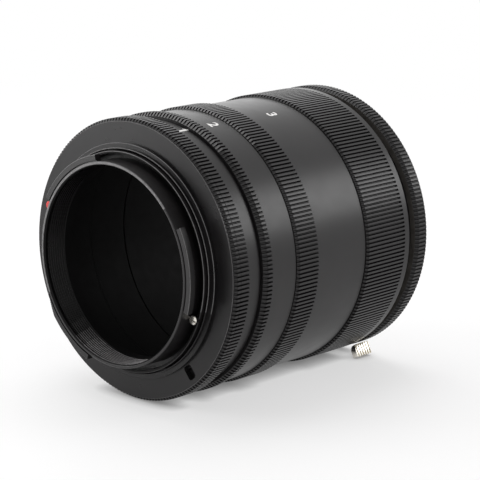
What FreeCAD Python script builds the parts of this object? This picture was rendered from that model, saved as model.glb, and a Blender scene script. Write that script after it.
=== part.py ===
import FreeCAD, Part
import Sketcher
import math
import os

# Macro extension tube set for a bayonet-mount camera: a camera adapter, three
# threaded tubes and a lens adapter, screwed together in one stack.
# The optical axis is Y. Y = 0 is the flange face that seats on the camera and
# the lens sits at the +Y end. Z is up. Angles written as "clock" start at the
# top (+Z) and grow toward +X. Lengths are millimetres, angles degrees.

SIZES = (
    # bayonet that enters the camera: every other ring is built out from its core
    ("core_diameter", 44.0),
    ("core_length", 6.0),
    ("core_wall", 0.9),
    ("core_mouth_chamfer", 0.35),
    ("core_mouth_depth", 0.6),
    ("core_edge_chamfer", 0.15),
    ("recess_width", 1.17),
    ("recess_depth", 0.3),
    ("base_ring_width", 0.68),
    ("base_ring_height", 2.31),
    ("base_ring_clearance", 0.17),
    ("foot_step", 2.35),
    ("foot_front", 1.0),
    ("foot_thickness", 1.3),
    ("foot_clearance", 0.1),
    # the three lobes of the bayonet
    ("lobe_rise", 1.45),
    ("lobe_thickness", 1.5),
    ("lobe_setback", 0.1),
    ("lobe_root", 0.3),
    ("lobe_edge_chamfer", 0.15),
    ("lobe_groove_width", 0.3),
    ("lobe_groove_depth", 0.35),
    ("lobe_one_start", -60.0),
    ("lobe_one_span", 49.0),
    ("lobe_two_start", 61.0),
    ("lobe_two_span", 45.0),
    ("lobe_three_start", -160.0),
    ("lobe_three_span", 44.0),
    # stepped collar and flange disc round the bayonet
    ("lip_width", 0.23),
    ("lip_height", 1.45),
    ("collar_width", 1.05),
    ("collar_height", 0.86),
    ("flange_thickness", 1.7),
    ("flange_rim_step", 0.65),
    ("flange_rim_length", 0.35),
    ("flange_rim_lead", 0.45),
    # threads between the rings
    ("spigot_wall", 1.65),
    ("thread_clearance", 0.05),
    ("thread_length", 3.2),
    ("thread_end_gap", 0.3),
    ("thread_chamfer", 0.3),
    # walls and lengths of the rings
    ("tube_wall", 2.0),
    ("flange_wall", 2.4),
    ("tube_one_band_wall", 1.1),
    ("tube_one_grip_rise", 1.3),
    ("tube_one_grip_length", 2.7),
    ("tube_one_band_length", 4.5),
    ("tube_two_band_wall", 1.9),
    ("tube_two_grip_rise", 0.6),
    ("tube_two_grip_length", 2.4),
    ("tube_two_band_length", 7.6),
    ("tube_three_band_wall", 1.9),
    ("tube_three_grip_rise", 0.6),
    ("tube_three_grip_length", 6.6),
    ("tube_three_band_length", 15.7),
    ("adapter_grip_wall", 2.5),
    ("adapter_grip_length", 12.6),
    ("adapter_lip_length", 1.8),
    ("edge_chamfer", 0.2),
    ("seam_chamfer", 0.08),
    ("grip_lead_chamfer", 0.45),
    ("tube_two_lead_chamfer", 0.8),
    ("lip_chamfer", 0.35),
    # lever groove and rear ring
    ("groove_wall", 0.45),
    ("rear_ring_wall", 2.05),
    ("rear_ring_skirt", 1.6),
    ("ring_web_thickness", 0.6),
    ("ring_seat_clearance", 0.05),
    # bayonet plate that receives the lens, its throat fitted to the same bayonet
    ("plate_overlap", 0.85),
    ("plate_thickness", 1.5),
    ("plate_rise", 0.3),
    ("plate_edge_chamfer", 0.3),
    ("plate_seat_clearance", 0.05),
    ("throat_tube_wall", 0.7),
    ("throat_clearance", 0.05),
    ("throat_fit", 0.15),
    ("throat_depth_fit", 0.15),
    ("lug_gap", 0.2),
    ("lug_root", 0.3),
    ("lug_one_start", -8.0),
    ("lug_one_span", 66.0),
    ("lug_two_start", 109.0),
    ("lug_two_span", 88.0),
    ("lug_three_start", -113.0),
    ("lug_three_span", 50.0),
    # chamber behind the lugs
    ("chamber_fit", 0.45),
    ("chamber_gap", 1.3),
    ("web_thickness", 3.5),
    ("web_fit", 0.8),
    # leaf springs under the lugs
    ("leaf_inset", 0.3),
    ("leaf_width", 1.3),
    ("leaf_thickness", 0.25),
    ("leaf_span", 30.0),
    ("leaf_foot_span", 5.0),
    # stop screw beside the second lobe
    ("stop_screw_clock", 110.9),
    ("stop_head_diameter", 2.0),
    ("stop_head_height", 0.4),
    ("stop_post_height", 0.8),
    ("stop_head_gap", 0.025),
    ("stop_boss_margin", 0.05),
    ("stop_shank_diameter", 1.0),
    ("stop_shank_length", 2.9),
    ("stop_slot_width", 0.45),
    ("stop_slot_depth", 0.25),
    ("screw_clearance", 0.03),
    ("screw_end_gap", 0.1),
    # screws that hold the bayonet from behind
    ("foot_screw_count", 3),
    ("foot_screw_clock", 0.0),
    ("foot_screw_margin", 0.2),
    ("foot_head_diameter", 1.8),
    ("foot_head_height", 0.6),
    ("foot_shank_diameter", 1.0),
    ("foot_shank_length", 1.4),
    # screws of the bayonet plate
    ("plate_screw_count", 5),
    ("plate_screw_clock", 25.0),
    ("plate_screw_margin", 0.45),
    ("plate_head_diameter", 2.4),
    ("plate_head_height", 0.7),
    ("plate_shank_diameter", 1.2),
    ("plate_shank_length", 4.2),
    # lock slot and index marks
    ("lock_slot_clock", 140.5),
    ("lock_slot_margin", 0.25),
    ("lock_slot_length", 3.15),
    ("lock_slot_width", 2.25),
    ("lock_slot_corner", 0.5),
    ("lock_slot_depth", 1.4),
    ("index_clock", -72.8),
    ("index_inset", 3.0),
    ("index_diameter", 1.8),
    ("index_depth", 0.5),
    ("index_clearance", 0.02),
    ("lens_index_clock", -72.8),
    ("lens_index_inset", 2.2),
    # lens release: lever, lock pin and return spring
    ("lever_clock", 153.5),
    ("lever_travel", 1.3),
    ("lever_end_gap", 0.15),
    ("lever_side_gap", 0.2),
    ("lever_pocket_wall", 0.65),
    ("lever_foot_width", 3.4),
    ("lever_foot_thickness", 0.9),
    ("lever_shoulder", 1.2),
    ("lever_pad_gap", 0.3),
    ("lever_pad_height", 2.9),
    ("lever_pad_setback", 0.15),
    ("lever_pad_nose", 1.5),
    ("lever_pad_length", 5.0),
    ("lever_pad_thickness", 1.5),
    ("lever_rib_count", 6),
    ("lever_rib_pitch", 0.8),
    ("lever_rib_height", 0.3),
    ("lock_pin_diameter", 1.85),
    ("lock_pin_inset", 0.95),
    ("lock_pin_rise", 1.2),
    ("lock_pin_fit", 0.05),
    ("lock_pin_relief", 0.1),
    ("lock_pin_tail_diameter", 1.2),
    ("lock_pin_tail_length", 1.6),
    ("lock_pin_tip_chamfer", 0.3),
    ("spring_diameter", 2.4),
    ("spring_wall", 0.35),
    ("spring_pressed_length", 3.05),
    ("spring_well_clearance", 0.15),
    # how far a cut runs past the face that it opens
    ("cut_over", 0.5),
)

# sizes that follow from the ones above, each kept in the sheet as a formula
FOLLOWING = (
    # radii, from the core outward
    ("core", "core_diameter / 2"),
    ("core_bore", "core - core_wall"),
    ("lobe_tip", "core + lobe_rise"),
    ("ring_inner", "core + recess_width"),
    ("ring_outer", "ring_inner + base_ring_width"),
    ("ring_seat", "ring_outer + base_ring_clearance"),
    ("lip", "ring_seat + lip_width"),
    ("collar", "lip + collar_width"),
    ("foot", "ring_outer + foot_step"),
    ("foot_seat", "foot + foot_clearance"),
    ("thread", "foot_seat + spigot_wall + thread_clearance"),
    ("thread_root", "thread - thread_clearance"),
    ("bore", "thread - tube_wall"),
    ("flange_edge", "thread + flange_wall"),
    ("tube_one_band", "thread + tube_one_band_wall"),
    ("tube_one_grip", "tube_one_band + tube_one_grip_rise"),
    ("tube_two_band", "thread + tube_two_band_wall"),
    ("tube_two_grip", "tube_two_band + tube_two_grip_rise"),
    ("tube_three_band", "thread + tube_three_band_wall"),
    ("tube_three_grip", "tube_three_band + tube_three_grip_rise"),
    ("adapter_grip", "thread + adapter_grip_wall"),
    ("neck", "thread + groove_wall"),
    ("rear_ring_outer", "neck + rear_ring_wall"),
    ("rear_ring_fit", "neck + ring_seat_clearance"),
    ("plate_outer", "neck + plate_overlap"),
    ("collar_seat", "collar + throat_fit"),
    ("throat_entry", "lip + throat_fit"),
    ("throat_step", "ring_outer + throat_fit + throat_clearance"),
    ("throat_tube", "throat_entry + throat_tube_wall"),
    ("throat_bore", "throat_tube + throat_clearance"),
    ("lug_tip", "core + throat_fit"),
    ("chamber", "lobe_tip + chamber_fit"),
    ("web_bore", "core + web_fit"),
    ("leaf_inner", "lug_tip + leaf_inset"),
    ("leaf_outer", "leaf_inner + leaf_width"),
    # places along the axis, from the flange face to the lens face
    ("foot_rear", "foot_front + foot_thickness"),
    ("lobe_front", "lobe_setback - core_length"),
    ("tube_one_front", "flange_thickness"),
    ("tube_one_step", "tube_one_front + tube_one_grip_length"),
    ("tube_two_front", "tube_one_step + tube_one_band_length"),
    ("tube_two_step", "tube_two_front + tube_two_grip_length"),
    ("tube_three_front", "tube_two_step + tube_two_band_length"),
    ("tube_three_step", "tube_three_front + tube_three_grip_length"),
    ("adapter_front", "tube_three_step + tube_three_band_length"),
    ("adapter_grip_end", "adapter_front + adapter_grip_length"),
    ("groove_front", "adapter_grip_end + adapter_lip_length"),
    ("lever_foot_front", "groove_front + lever_end_gap + lever_travel"),
    ("lever_foot_rear", "lever_foot_front + lever_foot_thickness"),
    ("ring_front", "lever_foot_rear + lever_end_gap"),
    ("body_rear", "ring_front + rear_ring_skirt"),
    ("plate_front", "body_rear + ring_web_thickness"),
    ("lens_face", "plate_front + plate_thickness"),
    ("ring_rear", "lens_face - plate_rise"),
    ("collar_floor", "lens_face - collar_height - throat_depth_fit"),
    ("entry_floor", "lens_face - lip_height - throat_depth_fit"),
    ("lug_rear", "lens_face - base_ring_height - throat_depth_fit"),
    ("throat_end", "lens_face - core_length + lobe_setback + lobe_thickness + lug_gap"),
    ("chamber_front", "lens_face - core_length - chamber_gap"),
    ("web_front", "chamber_front - web_thickness"),
    ("spring_floor", "groove_front + lever_end_gap - spring_pressed_length"),
    ("lever_pad_front", "groove_front + lever_pad_setback"),
    ("socket_depth", "thread_length + thread_end_gap"),
    ("stop_screw_seat", "-base_ring_height - stop_post_height"),
    # places out from the axis of the small pieces
    ("stop_screw_place", "core + stop_head_gap + stop_head_diameter / 2"),
    ("stop_boss_diameter", "2 * (ring_outer - stop_screw_place - stop_boss_margin)"),
    ("foot_screw_place", "foot - foot_screw_margin - foot_head_diameter / 2"),
    ("plate_screw_place", "collar_seat + plate_screw_margin + plate_head_diameter / 2"),
    ("lock_slot_place", "collar + lock_slot_margin + lock_slot_length / 2"),
    ("index_place", "flange_edge - index_inset"),
    ("lens_index_place", "plate_outer - lens_index_inset"),
    ("lock_pin_place", "neck - lock_pin_inset"),
    ("lever_pocket_inner", "throat_bore + lever_pocket_wall"),
    ("lever_foot_inner", "lever_pocket_inner + lever_side_gap"),
    ("lever_pad_inner", "adapter_grip + lever_pad_gap"),
    ("lever_pad_outer", "lever_pad_inner + lever_pad_height"),
)

doc = FreeCAD.newDocument("macro_extension_tube")
sheet = doc.addObject("Spreadsheet::Sheet", "Sizes")
for row, (alias, size) in enumerate(SIZES, start=1):
    sheet.set("A%d" % row, alias)
    sheet.set("B%d" % row, str(size))
    sheet.setAlias("B%d" % row, alias)
for row, (alias, formula) in enumerate(FOLLOWING, start=len(SIZES) + 2):
    sheet.set("A%d" % row, alias)
    sheet.set("B%d" % row, "=" + formula)
    sheet.setAlias("B%d" % row, alias)
doc.recompute()


def value(formula):
    return float(sheet.evalExpression(formula))


def origin_item(body, role):
    for feature in body.Origin.OriginFeatures:
        if feature.Role == role:
            return feature
    raise ValueError("no plane or axis " + role)


def new_body(name):
    body = doc.addObject("PartDesign::Body", name)
    body.Label = name
    return body


def new_sketch(body, name, role="XY_Plane"):
    sketch = body.newObject("Sketcher::SketchObject", name)
    sketch.AttachmentSupport = [(origin_item(body, role), "")]
    sketch.MapMode = "FlatFace"
    return sketch


def sheet_formula(formula):
    """The same formula as seen from outside the sheet."""
    words = []
    word = ""
    for letter in formula + " ":
        if letter.isalpha() or letter == "_" or (word and letter.isdigit()):
            word += letter
        else:
            if word:
                words.append(word if word in ("cos", "sin", "deg") else "Sizes." + word)
                word = ""
            words.append(letter)
    return "".join(words).strip()


def closed_outline(sketch, corners):
    """Straight-sided outline whose corners are (radius, place) formulas."""
    spots = [FreeCAD.Vector(value(across), value(along), 0) for across, along in corners]
    count = len(spots)
    for index, spot in enumerate(spots):
        sketch.addGeometry(Part.LineSegment(spot, spots[(index + 1) % count]), False)
    for index in range(count):
        sketch.addConstraint(Sketcher.Constraint("Coincident", index, 2, (index + 1) % count, 1))
    for index, (across, along) in enumerate(corners):
        for kind, formula in (("DistanceX", across), ("DistanceY", along)):
            size = value(formula)
            number = sketch.addConstraint(Sketcher.Constraint(kind, -1, 1, index, 1, size))
            sketch.setExpression("Constraints[%d]" % number, sheet_formula(formula))
    return sketch


def turn_about_axis(sketch, clock):
    """Turns a profile about the optical axis, from +X at clock 90."""
    sketch.AttachmentOffset = FreeCAD.Placement(FreeCAD.Vector(), FreeCAD.Rotation(FreeCAD.Vector(0, 1, 0), 1))
    sketch.setExpression("AttachmentOffset.Rotation.Angle", sheet_formula(clock) + " - 90")


def revolve(body, name, corners, clock=None, span=None):
    """A ring, or with a span only a sector of it, about the optical axis."""
    sketch = closed_outline(new_sketch(body, name + "_outline"), corners)
    if clock is not None:
        turn_about_axis(sketch, clock)
    turned = body.newObject("PartDesign::Revolution", name)
    turned.Profile = sketch
    turned.ReferenceAxis = (sketch, ["V_Axis"])
    turned.Angle = 360.0
    if span is not None:
        turned.setExpression("Angle", sheet_formula(span))
    return turned


def face_sketch(body, name, clock, along):
    """A sketch square to the optical axis, with its own upright at the clock angle."""
    sketch = new_sketch(body, name, "XZ_Plane")
    sketch.AttachmentOffset = FreeCAD.Placement(FreeCAD.Vector(0, 0, 1), FreeCAD.Rotation(FreeCAD.Vector(0, 0, 1), 1))
    sketch.setExpression("AttachmentOffset.Base.z", "-(" + sheet_formula(along) + ")")
    sketch.setExpression("AttachmentOffset.Rotation.Angle", "-(" + sheet_formula(clock) + ")")
    return sketch


def round_outline(sketch, diameter, out):
    """A circle on the sketch's upright, at a distance out from the optical axis."""
    circle = sketch.addGeometry(Part.Circle(FreeCAD.Vector(0, value(out), 0), FreeCAD.Vector(0, 0, 1),
                                            value(diameter) / 2), False)
    sketch.addConstraint(Sketcher.Constraint("PointOnObject", circle, 3, -2))
    number = sketch.addConstraint(Sketcher.Constraint("DistanceY", -1, 1, circle, 3, value(out)))
    sketch.setExpression("Constraints[%d]" % number, sheet_formula(out))
    number = sketch.addConstraint(Sketcher.Constraint("Diameter", circle, value(diameter)))
    sketch.setExpression("Constraints[%d]" % number, sheet_formula(diameter))
    return sketch


def cornered_outline(sketch, out, length, width, corner):
    """An upright slot with its four corners cut off, centred on the sketch's upright."""
    side = width + " / 2"
    low = out + " - " + length + " / 2"
    high = out + " + " + length + " / 2"
    return closed_outline(sketch, (
        (corner + " - " + side, low),
        (side + " - " + corner, low),
        (side, low + " + " + corner),
        (side, high + " - " + corner),
        (side + " - " + corner, high),
        (corner + " - " + side, high),
        ("-" + side, high + " - " + corner),
        ("-" + side, low + " + " + corner),
    ))


def lever_outline(body, name, inner, outer, along, half_width):
    """A block's outline at the lever's clock angle, square to the optical axis."""
    sketch = face_sketch(body, name + "_outline", "lever_clock", along)
    return closed_outline(sketch, (
        ("-(" + half_width + ")", inner),
        (half_width, inner),
        (half_width, outer),
        ("-(" + half_width + ")", outer),
    ))


def extrude(body, name, kind, sketch, length, toward_lens):
    """Pads or pockets a face sketch toward the lens or toward the camera."""
    feature = body.newObject("PartDesign::" + kind, name)
    feature.Profile = sketch
    feature.Type = 0
    feature.setExpression("Length", sheet_formula(length))
    feature.Reversed = toward_lens if kind == "Pad" else not toward_lens
    return feature


def round_feature(body, name, kind, diameter, out, clock, along, length, toward_lens):
    sketch = round_outline(face_sketch(body, name + "_outline", clock, along), diameter, out)
    return extrude(body, name, kind, sketch, length, toward_lens)


def ring_of(body, name, feature, count):
    """Repeats a feature evenly about the optical axis."""
    pattern = body.newObject("PartDesign::PolarPattern", name)
    pattern.Originals = [feature]
    pattern.Axis = (origin_item(body, "Y_Axis"), [""])
    pattern.Angle = 360.0
    pattern.setExpression("Occurrences", sheet_formula(count))
    body.Tip = pattern
    return pattern


def flange_ring():
    """Disc that seats on the camera, with its stepped collar and its thread."""
    body = new_body("camera_flange_ring")
    revolve(body, "flange_form", (
        ("ring_seat", "-lip_height"),
        ("lip", "-lip_height"),
        ("lip", "-collar_height"),
        ("collar", "-collar_height"),
        ("collar", "0"),
        ("flange_edge - flange_rim_step", "0"),
        ("flange_edge - flange_rim_step", "flange_rim_length"),
        ("flange_edge", "flange_rim_length + flange_rim_lead"),
        ("flange_edge", "tube_one_front - seam_chamfer"),
        ("flange_edge - seam_chamfer", "tube_one_front"),
        ("thread_root", "tube_one_front"),
        ("thread_root", "tube_one_front + thread_length - thread_chamfer"),
        ("thread_root - thread_chamfer", "tube_one_front + thread_length"),
        ("foot_seat", "tube_one_front + thread_length"),
        ("foot_seat", "foot_front"),
        ("ring_seat", "foot_front"),
    ))
    slot = face_sketch(body, "lock_slot_outline", "lock_slot_clock", "0")
    cornered_outline(slot, "lock_slot_place", "lock_slot_length", "lock_slot_width", "lock_slot_corner")
    extrude(body, "lock_slot", "Pocket", slot, "lock_slot_depth", True)
    round_feature(body, "index_seat", "Pocket", "index_diameter + 2 * index_clearance", "index_place",
                  "index_clock", "0", "index_depth", True)
    hole = round_feature(body, "foot_screw_hole", "Pocket", "foot_shank_diameter + 2 * screw_clearance",
                         "foot_screw_place", "foot_screw_clock", "foot_front",
                         "foot_shank_length - foot_thickness + foot_head_height + screw_end_gap", False)
    ring_of(body, "foot_screw_holes", hole, "foot_screw_count")
    return body


def camera_bayonet():
    """Core, base ring and three lobes, turned as one piece and screwed in from behind."""
    body = new_body("camera_bayonet")
    revolve(body, "core_form", (
        ("core_bore", "foot_rear"),
        ("core_bore", "core_mouth_depth - core_length"),
        ("core_bore + core_mouth_chamfer", "-core_length"),
        ("core - core_edge_chamfer", "-core_length"),
        ("core", "core_edge_chamfer - core_length"),
        ("core", "recess_depth"),
        ("ring_inner", "recess_depth"),
        ("ring_inner", "-base_ring_height"),
        ("ring_outer", "-base_ring_height"),
        ("ring_outer", "foot_front"),
        ("foot", "foot_front"),
        ("foot", "foot_rear"),
    ))
    for name in ("one", "two", "three"):
        revolve(body, "lobe_" + name, (
            ("core - lobe_root", "lobe_front + lobe_thickness"),
            ("core - lobe_root", "lobe_front + lobe_groove_depth"),
            ("core + lobe_groove_width", "lobe_front + lobe_groove_depth"),
            ("core + lobe_groove_width", "lobe_front"),
            ("lobe_tip - lobe_edge_chamfer", "lobe_front"),
            ("lobe_tip", "lobe_front + lobe_edge_chamfer"),
            ("lobe_tip", "lobe_front + lobe_thickness"),
        ), "lobe_" + name + "_start", "lobe_" + name + "_span")
    round_feature(body, "stop_boss", "Pad", "stop_boss_diameter", "stop_screw_place", "stop_screw_clock",
                  "-base_ring_height", "base_ring_height + recess_depth + cut_over", True)
    round_feature(body, "stop_post", "Pad", "stop_boss_diameter", "stop_screw_place", "stop_screw_clock",
                  "-base_ring_height", "stop_post_height", False)
    round_feature(body, "stop_hole", "Pocket", "stop_shank_diameter + 2 * screw_clearance", "stop_screw_place",
                  "stop_screw_clock", "stop_screw_seat", "stop_shank_length + screw_end_gap", True)
    shank = round_feature(body, "foot_hole", "Pocket", "foot_shank_diameter + 2 * screw_clearance",
                          "foot_screw_place", "foot_screw_clock", "foot_rear", "foot_thickness + cut_over", False)
    ring_of(body, "foot_holes", shank, "foot_screw_count")
    head = round_feature(body, "foot_head_seat", "Pocket", "foot_head_diameter + 2 * screw_clearance",
                         "foot_screw_place", "foot_screw_clock", "foot_rear", "foot_head_height", False)
    ring_of(body, "foot_head_seats", head, "foot_screw_count")
    return body


def stop_screw():
    """Slotted screw whose head stops the bayonet's turn."""
    body = new_body("stop_screw")
    round_feature(body, "screw_head", "Pad", "stop_head_diameter", "stop_screw_place", "stop_screw_clock",
                  "stop_screw_seat", "stop_head_height", False)
    round_feature(body, "screw_shank", "Pad", "stop_shank_diameter", "stop_screw_place", "stop_screw_clock",
                  "stop_screw_seat", "stop_shank_length", True)
    sketch = face_sketch(body, "driver_slot_outline", "stop_screw_clock", "stop_screw_seat - stop_head_height")
    low = "stop_screw_place - stop_head_diameter"
    high = "stop_screw_place + stop_head_diameter"
    closed_outline(sketch, (
        ("-stop_slot_width / 2", low),
        ("stop_slot_width / 2", low),
        ("stop_slot_width / 2", high),
        ("-stop_slot_width / 2", high),
    ))
    extrude(body, "driver_slot", "Pocket", sketch, "stop_slot_depth", True)
    return body


def index_mark(name, clock, out, along, toward_lens):
    """Round paint plug, flush with the face that it marks."""
    body = new_body(name)
    round_feature(body, name + "_plug", "Pad", "index_diameter", out, clock, along, "index_depth", toward_lens)
    return body


def extension_tube(name, front, step, rear, lead):
    """Tube with a grip ring and socket at the camera end and a threaded spigot at the other."""
    body = new_body(name)
    grip = name + "_grip"
    band = name + "_band"
    revolve(body, name + "_form", (
        ("thread + thread_chamfer", front),
        (grip + " - " + lead, front),
        (grip, front + " + " + lead),
        (grip, step + " - edge_chamfer"),
        (grip + " - edge_chamfer", step),
        (band, step),
        (band, rear + " - edge_chamfer"),
        (band + " - edge_chamfer", rear),
        ("thread_root", rear),
        ("thread_root", rear + " + thread_length - thread_chamfer"),
        ("thread_root - thread_chamfer", rear + " + thread_length"),
        ("bore", rear + " + thread_length"),
        ("bore", front + " + socket_depth"),
        ("thread", front + " + socket_depth"),
        ("thread", front + " + thread_chamfer"),
    ))
    return body


def lens_adapter_body():
    """Grip ring with its lip, the groove for the lever, and the housing of the lens bayonet."""
    body = new_body("lens_adapter_body")
    revolve(body, "adapter_form", (
        ("thread + thread_chamfer", "adapter_front"),
        ("adapter_grip - grip_lead_chamfer", "adapter_front"),
        ("adapter_grip", "adapter_front + grip_lead_chamfer"),
        ("adapter_grip", "groove_front - lip_chamfer"),
        ("adapter_grip - lip_chamfer", "groove_front"),
        ("neck", "groove_front"),
        ("neck", "body_rear"),
        ("throat_bore", "body_rear"),
        ("throat_bore", "throat_end"),
        ("chamber", "throat_end"),
        ("chamber", "chamber_front"),
        ("web_bore", "chamber_front"),
        ("web_bore", "web_front"),
        ("bore", "web_front"),
        ("bore", "adapter_front + socket_depth"),
        ("thread", "adapter_front + socket_depth"),
        ("thread", "adapter_front + thread_chamfer"),
    ))
    sketch = lever_outline(body, "lever_pocket", "lever_pocket_inner", "neck + cut_over", "groove_front",
                           "lever_foot_width / 2 + lever_side_gap")
    extrude(body, "lever_pocket", "Pocket", sketch, "body_rear - groove_front + cut_over", True)
    round_feature(body, "spring_well", "Pocket", "spring_diameter + 2 * spring_well_clearance", "lock_pin_place",
                  "lever_clock", "groove_front", "groove_front - spring_floor", False)
    hole = round_feature(body, "plate_screw_hole", "Pocket", "plate_shank_diameter + 2 * screw_clearance",
                         "plate_screw_place", "plate_screw_clock", "body_rear",
                         "plate_shank_length + plate_head_height - plate_thickness - ring_web_thickness"
                         " + screw_end_gap", False)
    ring_of(body, "plate_screw_holes", hole, "plate_screw_count")
    return body


def rear_ring():
    """Finely knurled ring, held between the bayonet plate and the adapter body."""
    body = new_body("rear_knurled_ring")
    revolve(body, "ring_form", (
        ("rear_ring_fit", "ring_front"),
        ("rear_ring_outer - edge_chamfer", "ring_front"),
        ("rear_ring_outer", "ring_front + edge_chamfer"),
        ("rear_ring_outer", "ring_rear - edge_chamfer"),
        ("rear_ring_outer - edge_chamfer", "ring_rear"),
        ("plate_outer + plate_seat_clearance", "ring_rear"),
        ("plate_outer + plate_seat_clearance", "plate_front"),
        ("throat_bore + plate_seat_clearance", "plate_front"),
        ("throat_bore + plate_seat_clearance", "body_rear"),
        ("rear_ring_fit", "body_rear"),
    ))
    round_feature(body, "pin_hole", "Pocket", "lock_pin_diameter + 2 * lock_pin_relief", "lock_pin_place",
                  "lever_clock", "body_rear", "ring_web_thickness + cut_over", True)
    hole = round_feature(body, "plate_screw_hole", "Pocket", "plate_shank_diameter + 2 * screw_clearance",
                         "plate_screw_place", "plate_screw_clock", "body_rear", "ring_web_thickness + cut_over",
                         True)
    ring_of(body, "plate_screw_holes", hole, "plate_screw_count")
    return body


def lens_bayonet_plate():
    """Chromed plate with a stepped throat and three lugs that catch the lens."""
    body = new_body("lens_bayonet_plate")
    revolve(body, "plate_form", (
        ("throat_step", "throat_end"),
        ("throat_tube", "throat_end"),
        ("throat_tube", "plate_front"),
        ("plate_outer", "plate_front"),
        ("plate_outer", "lens_face - plate_edge_chamfer"),
        ("plate_outer - plate_edge_chamfer", "lens_face"),
        ("collar_seat + lobe_edge_chamfer", "lens_face"),
        ("collar_seat", "lens_face - lobe_edge_chamfer"),
        ("collar_seat", "collar_floor"),
        ("throat_entry", "collar_floor"),
        ("throat_entry", "entry_floor"),
        ("throat_step", "entry_floor"),
    ))
    for name in ("one", "two", "three"):
        revolve(body, "lug_" + name, (
            ("lug_tip", "throat_end"),
            ("throat_step + lug_root", "throat_end"),
            ("throat_step + lug_root", "lug_rear"),
            ("lug_tip + lobe_edge_chamfer", "lug_rear"),
            ("lug_tip", "lug_rear - lobe_edge_chamfer"),
        ), "lug_" + name + "_start", "lug_" + name + "_span")
    round_feature(body, "pin_hole", "Pocket", "lock_pin_diameter + 2 * lock_pin_fit", "lock_pin_place",
                  "lever_clock", "lens_face", "plate_thickness + cut_over", False)
    round_feature(body, "index_seat", "Pocket", "index_diameter + 2 * index_clearance", "lens_index_place",
                  "lens_index_clock", "lens_face", "index_depth", False)
    hole = round_feature(body, "plate_screw_hole", "Pocket", "plate_shank_diameter + 2 * screw_clearance",
                         "plate_screw_place", "plate_screw_clock", "lens_face", "plate_thickness + cut_over",
                         False)
    ring_of(body, "plate_screw_holes", hole, "plate_screw_count")
    head = round_feature(body, "plate_head_seat", "Pocket", "plate_head_diameter + 2 * screw_clearance",
                         "plate_screw_place", "plate_screw_clock", "lens_face", "plate_head_height", False)
    ring_of(body, "plate_head_seats", head, "plate_screw_count")
    return body


def leaf_spring(name, lug):
    """Arched strip on the back of a lug that pulls the lens lobe home."""
    body = new_body(name)
    low = "throat_end - 2 * leaf_thickness"
    high = "throat_end - leaf_thickness"
    start = "lug_" + lug + "_start + lug_" + lug + "_span / 2 - leaf_span / 2"
    revolve(body, name + "_strip", (
        ("leaf_inner", low),
        ("leaf_outer", low),
        ("leaf_outer", high),
        ("leaf_inner", high),
    ), start, "leaf_span")
    for end, at in (("a", start), ("b", start + " + leaf_span - leaf_foot_span")):
        revolve(body, name + "_foot_" + end, (
            ("leaf_inner", low),
            ("leaf_outer", low),
            ("leaf_outer", "throat_end"),
            ("leaf_inner", "throat_end"),
        ), at, "leaf_foot_span")
    return body


def release_lever():
    """Lever foot in the groove, its neck, and the ribbed thumb pad outside the ring."""
    body = new_body("release_lever")
    half_pad = "lever_pad_thickness / 2"
    sketch = lever_outline(body, "foot", "lever_foot_inner", "neck + lever_shoulder", "lever_foot_front",
                           "lever_foot_width / 2")
    extrude(body, "foot", "Pad", sketch, "lever_foot_thickness", True)
    sketch = lever_outline(body, "neck", "neck", "lever_pad_inner + lever_shoulder", "lever_foot_front", half_pad)
    extrude(body, "neck", "Pad", sketch, "lever_foot_thickness", True)
    sketch = closed_outline(new_sketch(body, "pad_outline"), (
        ("lever_pad_inner + lever_pad_nose", "lever_pad_front"),
        ("lever_pad_outer", "lever_pad_front"),
        ("lever_pad_outer", "lever_pad_front + lever_pad_length"),
        ("lever_pad_inner", "lever_pad_front + lever_pad_length"),
        ("lever_pad_inner", "lever_pad_front + lever_pad_nose"),
    ))
    turn_about_axis(sketch, "lever_clock")
    pad = extrude(body, "pad", "Pad", sketch, "lever_pad_thickness", True)
    pad.Midplane = True
    # grooves between the thumb ribs, cut in the flank that looks up
    sketch = face_sketch(body, "rib_groove_outline", "lever_clock", "lever_pad_front + lever_rib_pitch / 2")
    closed_outline(sketch, (
        ("-(" + half_pad + ") - cut_over", "lever_pad_inner - cut_over"),
        ("lever_rib_height - " + half_pad, "lever_pad_inner - cut_over"),
        ("lever_rib_height - " + half_pad, "lever_pad_outer + cut_over"),
        ("-(" + half_pad + ") - cut_over", "lever_pad_outer + cut_over"),
    ))
    cut = extrude(body, "rib_groove", "Pocket", sketch, "lever_rib_pitch / 2", True)
    pattern = body.newObject("PartDesign::LinearPattern", "rib_grooves")
    pattern.Originals = [cut]
    pattern.Direction = (origin_item(body, "Y_Axis"), [""])
    pattern.setExpression("Occurrences", sheet_formula("lever_rib_count"))
    pattern.setExpression("Length", sheet_formula("lever_rib_pitch * (lever_rib_count - 1)"))
    body.Tip = pattern
    round_feature(body, "pin_rivet_hole", "Pocket", "lock_pin_tail_diameter", "lock_pin_place", "lever_clock",
                  "lever_foot_front", "lever_foot_thickness + cut_over", True)
    return body


def lock_pin():
    """Stepped pin that locks the lens, riveted in the lever's foot."""
    body = new_body("lock_pin")
    shoulder = "lens_face + lock_pin_rise - lock_pin_tip_chamfer"
    round_feature(body, "shank", "Pad", "lock_pin_diameter", "lock_pin_place", "lever_clock", "lever_foot_rear",
                  shoulder + " - lever_foot_rear", True)
    round_feature(body, "tip", "Pad", "lock_pin_diameter - 2 * lock_pin_tip_chamfer", "lock_pin_place",
                  "lever_clock", shoulder, "lock_pin_tip_chamfer", True)
    round_feature(body, "tail", "Pad", "lock_pin_tail_diameter", "lock_pin_place", "lever_clock",
                  "lever_foot_rear", "lever_foot_thickness + lock_pin_tail_length", False)
    return body


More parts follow.
